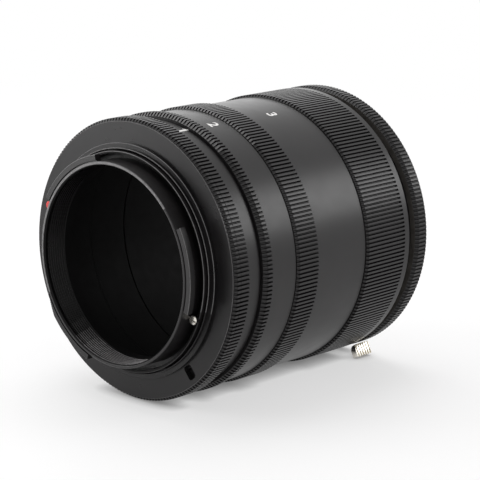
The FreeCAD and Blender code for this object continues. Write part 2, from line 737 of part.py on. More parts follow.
def lever_spring():
    """Room that the return coil takes in its well when the lever is pushed home."""
    body = new_body("lever_spring")
    round_feature(body, "coil", "Pad", "spring_diameter", "lock_pin_place", "lever_clock", "spring_floor",
                  "spring_pressed_length", True)
    round_feature(body, "coil_bore", "Pocket", "spring_diameter - 2 * spring_wall", "lock_pin_place",
                  "lever_clock", "spring_floor", "spring_pressed_length + cut_over", True)
    return body


def screws():
    """The two rings of screws, each a group of separate solids."""
    groups = (
        ("bayonet_screws", "foot_screw_count", "foot_screw_place", "foot_screw_clock", "foot_rear",
         "foot_head_diameter", "foot_head_height", "foot_shank_diameter", "foot_shank_length"),
        ("plate_screws", "plate_screw_count", "plate_screw_place", "plate_screw_clock", "lens_face",
         "plate_head_diameter", "plate_head_height", "plate_shank_diameter", "plate_shank_length"),
    )
    made = []
    toward_camera = FreeCAD.Vector(0, -1, 0)
    for name, count, out, clock, face, head, rise, shank, length in groups:
        solids = []
        for index in range(int(value(count))):
            turn = FreeCAD.Rotation(FreeCAD.Vector(0, 1, 0), value(clock) + 360.0 * index / value(count))
            top = turn.multVec(FreeCAD.Vector(0, value(face), value(out)))
            seat = turn.multVec(FreeCAD.Vector(0, value(face) - value(rise), value(out)))
            screw = Part.makeCylinder(value(head) / 2, value(rise), top, toward_camera)
            stem = Part.makeCylinder(value(shank) / 2, value(length), seat, toward_camera)
            solids.append(screw.fuse(stem).removeSplitter().Solids[0])
        feature = doc.addObject("Part::Feature", name)
        feature.Label = name
        feature.Shape = Part.makeCompound(solids)
        feature.Placement = FreeCAD.Placement()
        made.append(feature)
    return made


parts = [
    flange_ring(),
    camera_bayonet(),
    stop_screw(),
    index_mark("camera_index_mark", "index_clock", "index_place", "0", True),
    extension_tube("tube_one", "tube_one_front", "tube_one_step", "tube_two_front", "seam_chamfer"),
    extension_tube("tube_two", "tube_two_front", "tube_two_step", "tube_three_front", "tube_two_lead_chamfer"),
    extension_tube("tube_three", "tube_three_front", "tube_three_step", "adapter_front", "grip_lead_chamfer"),
    lens_adapter_body(),
    rear_ring(),
    lens_bayonet_plate(),
    index_mark("lens_index_mark", "lens_index_clock", "lens_index_place", "lens_face", False),
    leaf_spring("bayonet_spring_one", "one"),
    leaf_spring("bayonet_spring_two", "two"),
    leaf_spring("bayonet_spring_three", "three"),
    release_lever(),
    lock_pin(),
    lever_spring(),
]
parts.extend(screws())
doc.recompute()

# every object has to be whole before anything is written
for item in doc.Objects:
    if "Invalid" in item.State or "Error" in item.State:
        raise RuntimeError("object failed: " + item.Label)
for part in parts:
    if part.Shape.isNull() or not part.Shape.isValid():
        raise RuntimeError("shape failed: " + part.Label)

os.makedirs("parts", exist_ok=True)
for part in parts:
    part.Shape.exportStep("parts/" + part.Label + ".step")
    print(part.Label, len(part.Shape.Solids), round(part.Shape.Volume, 2))
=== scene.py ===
import math

import bpy
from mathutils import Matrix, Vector


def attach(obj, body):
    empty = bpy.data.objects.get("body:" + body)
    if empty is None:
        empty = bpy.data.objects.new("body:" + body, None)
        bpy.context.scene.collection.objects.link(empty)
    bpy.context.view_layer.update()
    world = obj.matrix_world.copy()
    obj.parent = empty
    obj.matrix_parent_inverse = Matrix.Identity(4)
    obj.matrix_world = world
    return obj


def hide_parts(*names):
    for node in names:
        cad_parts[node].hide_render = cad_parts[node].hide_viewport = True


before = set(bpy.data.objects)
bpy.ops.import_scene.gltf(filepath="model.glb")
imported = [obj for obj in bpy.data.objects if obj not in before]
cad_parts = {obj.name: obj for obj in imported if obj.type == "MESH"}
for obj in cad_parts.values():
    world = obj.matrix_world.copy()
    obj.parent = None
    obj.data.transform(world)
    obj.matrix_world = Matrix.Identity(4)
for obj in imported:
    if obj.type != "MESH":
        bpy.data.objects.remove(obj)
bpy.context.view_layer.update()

# sizes are in millimetres unless their comment says otherwise, this turns them into metres
MM = 0.001

# points of a ring or a figure that are nearer than this, in millimetres, become one
DOUBLES = 0.002
# clock angles of a whole turn
ALL_ROUND = (-180.0, 180.0)

# teeth of a ring's grip, columns of faces for each, and the one where its groove starts
TEETH = 210
TOOTH_COLUMNS = 6
GROOVE_COLUMN = 4
COLUMNS = TOOTH_COLUMNS * TEETH

# an edge of a small piece that is sharper than this, in degrees, is broken
SHARP = 35.0

# how near a point has to be to a radius or a place to lie on it
HAIR = 0.01
CLOSE = 0.02
NEAR = 0.05
# how far a finish runs past its edge, and a cutter past the face that it opens
PAST = 0.1
CUT_OVER = 0.5
# edge chamfers, from the finest to the coarsest
STEP_EDGE = 0.05
FINE_EDGE = 0.06
SEAM = 0.08
EDGE = 0.1
RIM_EDGE = 0.12

# bayonet that enters the camera
CORE = 22.0
CORE_BORE = 21.1
CORE_FRONT = -6.0
MOUTH_RADIUS = 21.42
MOUTH_DEPTH = 0.5
RIDGE_PITCH = 0.613
RIDGE_COUNT = 8
RIDGE_HEIGHT = 0.14
RIDGES_FROM = -4.95
# shares of the pitch: the groove's deepest place, where the crest starts and how wide it is
RIDGE_DEEPEST = 0.35
CREST_START = 0.9
CREST_WIDTH = 0.22
# share of the pitch within which a face belongs to the crest
CREST_REACH = 0.06
# share of the ridge's height that the crest's far edge lies deeper
CREST_SLANT = 0.4
# clock angles from which the ridge crests are painted lighter, get a painted highlight and get a brighter
# one, going down
RIDGES_LIT = -135.0
RIDGES_HIGHLIT = -143.0
RIDGES_BRIGHTEST = -151.0
RIDGE_STAGGER = 0.4
# clock angle past the bottom where all of that ends
RIDGES_END = -210.0
# part of the mouth's rim that gets a painted highlight, and how deep
RIM_HIGHLIT = (-115.0, 48.0)
RIM_DEPTH = 0.13
# part of the collar's and the lip's edges that gets a painted highlight
EDGES_HIGHLIT = (-120.0, 106.0)
# part of the second and third grip where the front ends of the teeth get a painted highlight
TEETH_HIGHLIT = (-60.0, 36.0)
RING_INNER = 23.17
RING_OUTER = 23.75
RING_FRONT = -2.31
RECESS_FLOOR = 0.3
FOOT = 26.2
FOOT_FRONT = 1.0
FOOT_REAR = 2.3
CORE_LIP = 0.14
# how far inside the core's outer wall its inner wall is still looked for
CORE_DEPTH = 0.4

# lobes of that bayonet, each from its first to its last clock angle in degrees
LOBES = ((-60.0, -11.0), (61.0, 106.0), (-160.0, -116.0))
LOBE_TIP = 23.45
LOBE_FRONT = -5.9
LOBE_REAR = -4.4
LOBE_GROOVE_OUT = 22.3
LOBE_GROOVE_FLOOR = -5.55
# lead-in of the third lobe: its length in degrees, its steps, and what is left of the rise
LOBE_RAMP = 11.4
LOBE_RAMP_STEPS = 10
LOBE_RAMP_LEFT = 0.1
# degrees that a test of a lobe's rim reaches past its ends
LOBE_MARGIN = 1.0

# stepped flange disc
RING_SEAT = 24.08
LIP = 24.3
LIP_FRONT = -1.45
COLLAR = 25.3
COLLAR_FRONT = -0.86
FLANGE = 30.4
FLANGE_PLATE = 29.75
FLANGE_RIM = 0.35
FLANGE_LEAD = 0.45
FLANGE_REAR = 1.7

# chamfers of the grips, and the depth of their grooves
GRIP_LEAD = 0.45
SECOND_LEAD = 0.8
THIRD_LEAD = 0.5
GRIP_END = 0.2
LIP_CHAMFER = 0.35
GROOVE_DEPTH = 0.38
REAR_GROOVE_DEPTH = 0.22
# share of a long lead that gets the painted highlight
LEAD_HIGHLIT = 0.55

# the three tubes: where each starts, where its grip steps down to the band, and their radii;
# the adapter and the rear ring share the grip's
TUBE_ONE_STEP = 4.4
TUBE_TWO_FRONT = 8.9
TUBE_TWO_STEP = 11.3
TUBE_THREE_FRONT = 18.9
TUBE_THREE_STEP = 25.5
TUBE_ONE_BAND = 29.1
GRIP = 30.5
TUBE_BAND = 29.9

# thread, shared by all rings
THREAD = 28.0
THREAD_ROOT = 27.95
THREAD_LENGTH = 3.2
SOCKET_DEPTH = 3.5
CLOSE_SOCKET = 3.22
THREAD_CHAMFER = 0.3
FOOT_SEAT = 26.3
BORE = 26.0
# how far outside the thread a wall still counts as inside
SOCKET_REACH = 1.0

# lens adapter, from its front to the lens face
ADAPTER_FRONT = 41.2
KNURL_END = 53.8
GROOVE_FRONT = 55.6
NECK = 28.45
# clock angles between which the neck has a lighter, duller black
LIGHTER_ARC = (-90.0, 50.0)
BODY_REAR = 59.7
THROAT_BORE = 25.15
THROAT_END = 57.6
CHAMBER = 23.9
CHAMBER_FRONT = 54.5
WEB_BORE = 22.8
WEB_FRONT = 51.0
REAR_RING_FRONT = 58.1
REAR_RING_REAR = 61.5
REAR_RING_LEAD = 0.7
# play round the neck, the plate and the throat's tube
RING_PLAY = 0.05
PLATE = 29.3
PLATE_EDGE = 0.25
SEAT_EDGE = 0.15
PLATE_FRONT = 60.3
LENS_FACE = 61.8
COLLAR_SEAT = 25.45
COLLAR_FLOOR = 60.79
THROAT_ENTRY = 24.4
ENTRY_FLOOR = 60.2
THROAT_STEP = 24.05
THROAT_TUBE = 25.1
LUG_TIP = 22.15
LUG_REAR = 59.34
LUGS = ((-8.0, 58.0), (109.0, 197.0), (-113.0, -63.0))

# clock angles and places of the small pieces
STOP_CLOCK = 110.9
STOP_PLACE = 23.025
STOP_HEAD = 2.0
STOP_HEAD_HEIGHT = 0.4
STOP_POST = 1.55
STOP_SEAT = -3.11
STOP_SHANK = 1.0
STOP_SHANK_LENGTH = 2.9
STOP_HEAD_ROUND = 0.3
STOP_SLOT_WIDTH = 0.45
STOP_SLOT_DEPTH = 0.25
BOSS_SUNK = 0.2
LOCK_SLOT_CLOCK = 140.5
LOCK_SLOT_PLACE = 27.125
LOCK_SLOT_LENGTH = 3.15
LOCK_SLOT_WIDTH = 2.25
LOCK_SLOT_CORNER = 0.6
LOCK_SLOT_DEPTH = 1.4
INDEX_CLOCK = -72.8
INDEX_PLACE = 27.4
INDEX_RADIUS = 0.92
INDEX_DEPTH = 0.5
LENS_INDEX_PLACE = 27.1
FOOT_SCREWS = 3
FOOT_SCREW_PLACE = 25.1
FOOT_SCREW_HEAD = 1.8
FOOT_SCREW_HEAD_HEIGHT = 0.6
FOOT_SCREW_SHANK = 1.0
FOOT_SCREW_LENGTH = 1.4
PLATE_SCREWS = 5
PLATE_SCREW_CLOCK = 25.0
PLATE_SCREW_PLACE = 27.1
PLATE_SCREW_HEAD = 2.4
PLATE_SCREW_HEAD_HEIGHT = 0.7
PLATE_SCREW_SHANK = 1.2
PLATE_SCREW_LENGTH = 4.2
SCREW_CLEARANCE = 0.03
SCREW_END_GAP = 0.1
# cross recess: an arm's length as a share of the head, its width and its depth
CROSS_REACH = 0.3
CROSS_WIDTH = 0.3
CROSS_DEPTH = 0.35

# release lever, lock pin and spring
LEVER_CLOCK = 153.5
PIN_PLACE = 27.5
PIN_HOLE = 0.975
PIN_WEB_HOLE = 1.025
LEVER_FOOT_FRONT = 57.05
LEVER_FOOT_REAR = 57.95
LEVER_FOOT_INNER = 26.0
LEVER_FOOT_WIDTH = 3.4
LEVER_SHOULDER = 1.2
LEVER_PAD_INNER = 30.8
LEVER_PAD_OUTER = 33.7
LEVER_PAD_FRONT = 55.75
LEVER_PAD_REAR = 60.75
LEVER_PAD_NOSE = 1.5
LEVER_PAD_THICKNESS = 1.5
NECK_SUNK = 0.5
RIVET_RADIUS = 0.6
RIB_COUNT = 6
RIB_PITCH = 0.8
RIB_HEIGHT = 0.22
POCKET_INNER = 25.8
POCKET_SIDE = 0.2
WELL_RADIUS = 1.35
WELL_FLOOR = 52.7
SPRING_RADIUS = 1.2
SPRING_WIRE = 0.32
SPRING_END = 55.75
SPRING_TURNS = 6
WIRE_SIDES = 10
TURN_STEPS = 24


def clear_choice():
    bpy.ops.object.select_all(action="DESELECT")


def take(piece):
    """Makes a piece the only one selected, and the active one."""
    clear_choice()
    piece.select_set(True)
    bpy.context.view_layer.objects.active = piece


def settle():
    """Moves a selected piece's place, turn and size into its mesh."""
    bpy.ops.object.transform_apply(location=True, rotation=True, scale=True)


def edit_mode():
    bpy.ops.object.mode_set(mode="EDIT")


def object_mode():
    bpy.ops.object.mode_set(mode="OBJECT")


def named(name):
    """The newest piece, with its place moved into its mesh."""
    piece = bpy.context.object
    piece.name = name
    piece.data.name = name
    settle()
    return piece


def start_choice(piece, kind):
    """Clears the selection in a mesh and sets whether vertices, edges or faces are picked."""
    object_mode()
    kinds = ("vertices", "edges", "polygons")
    bpy.context.tool_settings.mesh_select_mode = [kind == each for each in kinds]
    for each in kinds:
        for item in getattr(piece.data, each):
            item.select = False


def choose(piece, test):
    """Selects the vertices that pass a test and leaves the piece in edit mode."""
    start_choice(piece, "vertices")
    for vertex in piece.data.vertices:
        vertex.select = test(vertex.co)
    edit_mode()


def choose_faces(piece, test):
    """Selects the faces whose middle and normal pass a test, in edit mode."""
    start_choice(piece, "polygons")
    for face in piece.data.polygons:
        face.select = test(face.center, face.normal)
    edit_mode()


def choose_edges(piece, test):
    """Selects the edges whose two ends pass a test, in edit mode."""
    start_choice(piece, "edges")
    points = piece.data.vertices
    for edge in piece.data.edges:
        edge.select = test(points[edge.vertices[0]].co, points[edge.vertices[1]].co)
    edit_mode()


def out_from_axis(point):
    """Distance from the optical axis, in millimetres."""
    return math.hypot(point.x, point.z) / MM


def at_radius(point, radius, reach):
    return abs(out_from_axis(point) - radius) < reach


def at_place(point, place, reach):
    return abs(point.y / MM - place) < reach


def clock_of(point):
    """Clock angle of a point, 0 at the top and 90 toward +X."""
    return math.degrees(math.atan2(point.x, point.z))


def in_sector(point, first, last):
    return (clock_of(point) - first) % 360.0 <= last - first


def turned(name, corners):
    """A closed ring turned about the optical axis through (radius, place) corners."""
    clear_choice()
    radius, place = corners[0]
    bpy.ops.mesh.primitive_circle_add(vertices=COLUMNS, radius=radius * MM, location=(0, place * MM, 0),
                                      rotation=(math.pi / 2, 0, 0))
    ring = named(name)
    edit_mode()
    bpy.ops.mesh.select_all(action="SELECT")
    for next_radius, next_place in list(corners[1:]) + [corners[0]]:
        step = (0, (next_place - place) * MM, 0)
        bpy.ops.mesh.extrude_edges_move(TRANSFORM_OT_translate={"value": step})
        growth = next_radius / radius
        bpy.ops.transform.resize(value=(growth, 1, growth), center_override=(0, next_place * MM, 0))
        radius, place = next_radius, next_place
    bpy.ops.mesh.select_all(action="SELECT")
    bpy.ops.mesh.remove_doubles(threshold=DOUBLES * MM)
    bpy.ops.mesh.normals_make_consistent(inside=False)
    object_mode()
    return ring


def knurl(ring, corners, floor, start, stop):
    """Sinks the groove columns of a grip to one floor, which leaves teeth along the axis."""
    turn = 2 * math.pi / COLUMNS
    for radius, place in corners:
        if radius < floor + HAIR or not start <= place <= stop:
            continue

        def in_groove(point, radius=radius, place=place):
            if not at_radius(point, radius, HAIR) or not at_place(point, place, HAIR):
                return False
            return round(math.atan2(point.z, point.x) / turn) % TOOTH_COLUMNS >= GROOVE_COLUMN

        choose(ring, in_groove)
        shrink = floor / radius
        bpy.ops.transform.resize(value=(shrink, 1, shrink), center_override=(0, place * MM, 0))
        object_mode()


def bevel_chosen(width, segments):
    bpy.ops.mesh.bevel(offset=width * MM, segments=segments)
    object_mode()


def push_out(radius_from, radius_to):
    """Extrudes the chosen faces away from the optical axis, or toward it."""
    bpy.ops.mesh.extrude_region()
    growth = radius_to / radius_from
    bpy.ops.transform.resize(value=(growth, 1, growth), center_override=(0, 0, 0))


def smooth(piece, degrees=30.0):
    take(piece)
    bpy.ops.object.shade_smooth_by_angle(angle=math.radians(degrees))


def join(pieces, name):
    clear_choice()
    for piece in pieces:
        piece.select_set(True)
    bpy.context.view_layer.objects.active = pieces[0]
    bpy.ops.object.join()
    pieces[0].name = name
    pieces[0].data.name = name
    return pieces[0]


def apply(piece, modifier):
    bpy.context.view_layer.objects.active = piece
    bpy.ops.object.modifier_apply(modifier=modifier.name)


def cut(piece, cutters):
    """Takes the cutters' shape out of the piece."""
    tool = join(cutters, "cutter")
    modifier = piece.modifiers.new("cut", "BOOLEAN")
    modifier.operation = "DIFFERENCE"
    modifier.solver = "EXACT"
    modifier.object = tool
    apply(piece, modifier)
    bpy.data.objects.remove(tool, do_unlink=True)


def round_bevel(piece, width, segments):
    """Breaks every edge of a piece that is sharper than the limit."""
    modifier = piece.modifiers.new("edges", "BEVEL")
    modifier.width = width * MM
    modifier.segments = segments
    modifier.limit_method = "ANGLE"
    modifier.angle_limit = math.radians(SHARP)
    apply(piece, modifier)


def at_clock(piece, degrees):
    """Turns a piece made at the top to its clock angle."""
    take(piece)
    piece.rotation_euler = (0, math.radians(degrees), 0)
    settle()
    return piece


def rod(name, radius, place, front, rear, clock=0, sides=48):
    """A round bar along the optical axis at a place out from it."""
    clear_choice()
    middle = (front + rear) / 2
    bpy.ops.mesh.primitive_cylinder_add(vertices=sides, radius=radius * MM, depth=(rear - front) * MM,
                                        location=(0, middle * MM, place * MM), rotation=(math.pi / 2, 0, 0))
    return at_clock(named(name), clock)


def ring_of_rods(name, radius, place, front, rear, count, first_clock=0.0):
    """Equal rods, spaced evenly about the optical axis."""
    turn = 360.0 / count
    return [rod(name, radius, place, front, rear, first_clock + turn * number) for number in range(count)]


def plate_screw_holes(front, rear):
    """Cutters for the shanks of the bayonet plate's screws."""
    return ring_of_rods("screw_hole", PLATE_SCREW_SHANK / 2 + SCREW_CLEARANCE, PLATE_SCREW_PLACE, front, rear,
                        PLATE_SCREWS, PLATE_SCREW_CLOCK)


def block(name, width, front, rear, inner, outer, clock=0):
    """A bar with flat sides, set radially at its clock angle."""
    clear_choice()
    place = (0, (front + rear) / 2 * MM, (inner + outer) / 2 * MM)
    bpy.ops.mesh.primitive_cube_add(size=1, location=place,
                                    scale=(width * MM, (rear - front) * MM, (outer - inner) * MM))
    return at_clock(named(name), clock)


def copy_of(piece, name):
    take(piece)
    bpy.ops.object.duplicate(linked=False)
    made = bpy.context.object
    made.name = name
    made.data.name = name
    return made


# materials


def add_node(tree, kind, inputs, **settings):
    """A new node, with each input set to a value or linked to another node's output."""
    made = tree.nodes.new("ShaderNode" + kind)
    for name, setting in settings.items():
        setattr(made, name, setting)
    for socket, item in inputs.items():
        if isinstance(item, bpy.types.NodeSocket):
            tree.links.new(item, made.inputs[socket])
        else:
            made.inputs[socket].default_value = item
    return made


def maths(tree, kind, first, second):
    return add_node(tree, "Math", {0: first, 1: second}, operation=kind).outputs["Value"]


class Finish:
    """A material whose tone, roughness and relief follow noises.

    A noise is given as its scale per metre and its detail, then come the two ends that it
    drifts between.
    """

    def __init__(self, name, specular=0.5, metallic=0.0):
        self.material = bpy.data.materials.new(name)
        self.material.use_nodes = True
        self.tree = self.material.node_tree
        self.shader = self.tree.nodes["Principled BSDF"]
        self.place = self.add("TexCoord", {}).outputs["Object"]
        self.put("Specular IOR Level", specular)
        self.put("Metallic", metallic)

    def add(self, kind, inputs, **settings):
        return add_node(self.tree, kind, inputs, **settings)

    def maths(self, kind, first, second):
        return maths(self.tree, kind, first, second)

    def put(self, socket, size):
        self.shader.inputs[socket].default_value = size

    def feed(self, output, socket):
        self.tree.links.new(output, self.shader.inputs[socket])

    def noise(self, per_metre, detail, stretch=None):
        spot = self.place
        if stretch is not None:
            spot = self.add("Mapping", {"Vector": spot, "Scale": stretch}).outputs["Vector"]
        return self.add("TexNoise", {"Vector": spot, "Scale": per_metre, "Detail": detail}).outputs["Fac"]

    def tone(self, per_metre, detail, dark, light, low=0.3, high=0.7):
        made = self.add("ValToRGB", {"Fac": self.noise(per_metre, detail)})
        for stop, place, colour in zip(made.color_ramp.elements, (low, high), (dark, light)):
            stop.position = place
            stop.color = (*colour, 1)
        self.feed(made.outputs["Color"], "Base Color")

    def roughness(self, per_metre, detail, low, high, stretch=None):
        fed = self.noise(per_metre, detail, stretch)
        made = self.add("MapRange", {"Value": fed, "To Min": low, "To Max": high})
        self.feed(made.outputs["Result"], "Roughness")

    def turning_marks(self, pitch):
        """Fine rings about the optical axis, as a lathe tool leaves them."""
        split = self.add("SeparateXYZ", {"Vector": self.place}).outputs
        squares = [self.maths("POWER", split[side], 2.0) for side in "XZ"]
        out = self.maths("SQRT", self.maths("ADD", *squares), 0.0)
        travel = self.maths("ADD", out, split["Y"])
        wave = self.maths("SINE", self.maths("MULTIPLY", travel, 2 * math.pi / (pitch * MM)), 0.0)
        return self.maths("MULTIPLY_ADD", wave, 0.5)

    def bump(self, height, strength, distance):
        """Adds the relief, the last thing in a finish, and gives the finished material."""
        made = self.add("Bump", {"Height": height, "Strength": strength, "Distance": distance * MM})
        self.feed(made.outputs["Normal"], "Normal")
        return self.material

    def grain(self, per_metre, strength, distance, stretch=None):
        """Fine blasted or drawn relief."""
        return self.bump(self.noise(per_metre, 2.0, stretch), strength, distance)


def black_anodising():
    """Satin black, with a fine blasted grain."""
    finish = Finish("black_anodising", specular=0.38)
    finish.tone(120.0, 4.0, (0.006, 0.0053, 0.0057), (0.0105, 0.0093, 0.0098))
    finish.roughness(400.0, 3.0, 0.28, 0.38)
    return finish.grain(9000.0, 0.2, 0.015)


def lighter_dull_black():
    """Lighter, duller black on one side of the rear groove's neck and on the rear ring's front face."""
    finish = Finish("lighter_dull_black", specular=0.2)
    finish.tone(500.0, 4.0, (0.05, 0.046, 0.042), (0.085, 0.079, 0.072))
    finish.roughness(400.0, 3.0, 0.5, 0.65)
    return finish.grain(9000.0, 0.2, 0.02)


def groove_shade_black():
    """Floor of the grip's grooves, darker and duller than the crests: painted shade."""
    finish = Finish("groove_shade_black", specular=0.2)
    finish.tone(300.0, 3.0, (0.005, 0.0044, 0.0047), (0.009, 0.008, 0.0085))
    finish.roughness(500.0, 3.0, 0.34, 0.44)
    return finish.grain(9000.0, 0.25, 0.02)


def flank_shade_black():
    """Near-black, dead flanks of the grip's grooves: painted shade."""
    finish = Finish("flank_shade_black", specular=0.05)
    finish.tone(300.0, 3.0, (0.0014, 0.0013, 0.0014), (0.003, 0.0027, 0.0029))
    finish.roughness(500.0, 3.0, 0.50, 0.65)
    return finish.grain(9000.0, 0.2, 0.02)


def painted_highlight_black():
    """Lighter, glossier black: a painted highlight along the raised edges and on ridge crests in the mouth.
    """
    finish = Finish("painted_highlight_black", specular=0.8)
    finish.tone(1200.0, 3.0, (0.05, 0.048, 0.049), (0.12, 0.115, 0.117))
    finish.roughness(700.0, 3.0, 0.28, 0.42)
    return finish.grain(9000.0, 0.15, 0.01)


def bright_crest_highlight():
    """Light grey: the brightest painted highlight on the crests of the ridges in the mouth."""
    finish = Finish("bright_crest_highlight", specular=0.8)
    finish.tone(900.0, 3.0, (0.16, 0.155, 0.157), (0.26, 0.25, 0.255))
    finish.roughness(700.0, 3.0, 0.35, 0.5)
    return finish.grain(9000.0, 0.1, 0.01)


def flange_black():
    """Flat-turned black face, with faint tool rings."""
    finish = Finish("flange_black", specular=0.27)
    finish.tone(90.0, 4.0, (0.007, 0.0065, 0.007), (0.012, 0.011, 0.0115))
    finish.roughness(300.0, 3.0, 0.24, 0.34)
    grain = finish.maths("ADD", finish.maths("MULTIPLY", finish.turning_marks(0.11), 0.35),
                         finish.noise(8000.0, 2.0))
    return finish.bump(grain, 0.15, 0.012)


def inner_black():
    """Dull black on the inside walls, which kills stray light; its tone is set darker than the outside black
    as painted shade.
    """
    finish = Finish("inner_black", specular=0.08)
    finish.tone(150.0, 3.0, (0.0016, 0.0015, 0.0016), (0.0032, 0.003, 0.0031))
    finish.roughness(500.0, 3.0, 0.55, 0.70)
    return finish.bump(finish.maths("ADD", finish.turning_marks(0.3), finish.noise(6000.0, 2.0)), 0.2, 0.02)


def deep_shade_black():
    """Deep black: the dull finish of the turned ridges inside the bayonet's mouth, set darker as painted
    shade, and painted shade on the base ring's front face behind the lobes.
    """
    finish = Finish("deep_shade_black", specular=0.12)
    finish.tone(200.0, 3.0, (0.0022, 0.002, 0.0021), (0.004, 0.0037, 0.0039))
    finish.roughness(500.0, 3.0, 0.24, 0.34)
    return finish.grain(8000.0, 0.15, 0.012)


def bright_nickel():
    """Plated steel of the lever, the pin and the screws, faintly warm."""
    finish = Finish("bright_nickel", metallic=1.0)
    finish.tone(700.0, 3.0, (0.70, 0.67, 0.61), (0.84, 0.81, 0.76))
    finish.roughness(1500.0, 2.0, 0.18, 0.34, (1, 6, 1))
    return finish.grain(6000.0, 0.15, 0.01, (1, 8, 1))


def rib_shade_nickel():
    """Darker, yellower plated steel at the bottom of the thumb ribs: painted shade."""
    finish = Finish("rib_shade_nickel", metallic=1.0)
    finish.tone(700.0, 3.0, (0.62, 0.58, 0.48), (0.72, 0.68, 0.58))
    finish.roughness(1500.0, 2.0, 0.3, 0.45)
    return finish.grain(6000.0, 0.15, 0.01)


def blued_steel():
    """Dark screws, black from the oxide bath."""
    finish = Finish("blued_steel", metallic=1.0)
    finish.tone(900.0, 3.0, (0.05, 0.05, 0.055), (0.09, 0.09, 0.095))
    finish.roughness(2000.0, 2.0, 0.30, 0.45)
    return finish.grain(9000.0, 0.2, 0.01)


def spring_strip():
    """Polished spring steel with a drawn grain."""
    finish = Finish("spring_strip", metallic=1.0)
    finish.tone(800.0, 3.0, (0.48, 0.48, 0.47), (0.62, 0.62, 0.61))
    finish.roughness(3000.0, 2.0, 0.20, 0.36)
    return finish.grain(9000.0, 0.15, 0.01, (1, 5, 1))


def satin_chrome():
    """Chromed brass plate, lapped in fine rings, with slight rub marks."""
    finish = Finish("satin_chrome", metallic=1.0)
    finish.tone(200.0, 4.0, (0.72, 0.72, 0.71), (0.84, 0.84, 0.83))
    finish.roughness(600.0, 4.0, 0.20, 0.36)
    return finish.bump(finish.maths("ADD", finish.turning_marks(0.12), finish.noise(4000.0, 2.0)), 0.12, 0.01)


def white_filling():
    """White paint in the figures, thin where it has rubbed."""
    finish = Finish("white_filling")
    finish.tone(1800.0, 3.0, (0.55, 0.54, 0.53), (0.82, 0.81, 0.80), 0.25, 0.5)
    finish.roughness(2500.0, 2.0, 0.45, 0.65)
    return finish.grain(5000.0, 0.2, 0.02)


def red_filling():
    """Red index paint, slightly glossy."""
    finish = Finish("red_filling")
    finish.tone(1500.0, 3.0, (0.55, 0.012, 0.010), (0.72, 0.02, 0.014))
    finish.roughness(2500.0, 2.0, 0.25, 0.40)
    return finish.grain(4000.0, 0.2, 0.02)


BLACK = black_anodising()
GROOVE_SHADE_BLACK = groove_shade_black()
FLANK_SHADE_BLACK = flank_shade_black()
PAINTED_HIGHLIGHT = painted_highlight_black()
BRIGHT_HIGHLIGHT = bright_crest_highlight()
FACE_BLACK = flange_black()
INNER = inner_black()
DEEP_SHADE_BLACK = deep_shade_black()
LIGHTER_DULL_BLACK = lighter_dull_black()
NICKEL = bright_nickel()
RIB_SHADE_NICKEL = rib_shade_nickel()
DARK_STEEL = blued_steel()
SPRING = spring_strip()
CHROME = satin_chrome()
WHITE = white_filling()
RED = red_filling()


# how much of a normal lies along the axis where a face looks outward, leans, or lies across it
FACES_OUT = 0.2
SLANTED = 0.3
SQUARE = 0.9
FACES_ALONG = 0.97
# how far under a groove's floor a face still belongs to the grip
UNDER_FLOOR = 0.4


def paint(piece, material):
    piece.data.materials.clear()
    piece.data.materials.append(material)


def paint_faces(piece, material, test):
    """Gives the faces whose middle and normal pass a test another finish."""
    piece.data.materials.append(material)
    number = len(piece.data.materials) - 1
    for face in piece.data.polygons:
        if test(face.center, face.normal):
            face.material_index = number


def paint_inside(piece, reach, front=-math.inf, material=INNER):
    """A black on the walls that face the optical axis, nearer than a radius and behind a place."""
    def inside(point, normal):
        toward_axis = point.x * normal.x + point.z * normal.z < 0
        return toward_axis and out_from_axis(point) < reach and point.y / MM > front

    paint_faces(piece, material, inside)


def paint_grooves(piece, crest, depth, start, stop):
    """Painted shade in the grip's grooves: a duller, darker black on their floors and a near-black one on
    their flanks.
    """
    floor = crest - depth

    def on_grip(point):
        return floor - UNDER_FLOOR < out_from_axis(point) < crest + PAST and start <= point.y / MM <= stop

    def is_floor(point, normal):
        return on_grip(point) and out_from_axis(point) < floor + NEAR and abs(normal.y) < FACES_OUT

    def is_flank(point, normal):
        across = (point.z * normal.x - point.x * normal.z) / math.hypot(point.x, point.z)
        return on_grip(point) and abs(across) > SLANTED

    paint_faces(piece, GROOVE_SHADE_BLACK, is_floor)
    paint_faces(piece, FLANK_SHADE_BLACK, is_flank)


def paint_highlight(piece, inner, outer, front, rear, arc=ALL_ROUND):
    """Painted highlight on the small slanted faces between two radii and two places, on an arc of clock
    angles.
    """
    def on_edge(point, normal):
        slanted = SLANTED < abs(normal.y) < FACES_ALONG
        near = inner < out_from_axis(point) < outer and front < point.y / MM < rear
        return slanted and near and in_sector(point, *arc)

    paint_faces(piece, PAINTED_HIGHLIGHT, on_edge)


def carried(piece, body, slot, *nodes):
    """Hangs a finished piece on its body, in place of the plain nodes."""
    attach(piece, body)
    if nodes:
        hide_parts(*nodes)


# rings


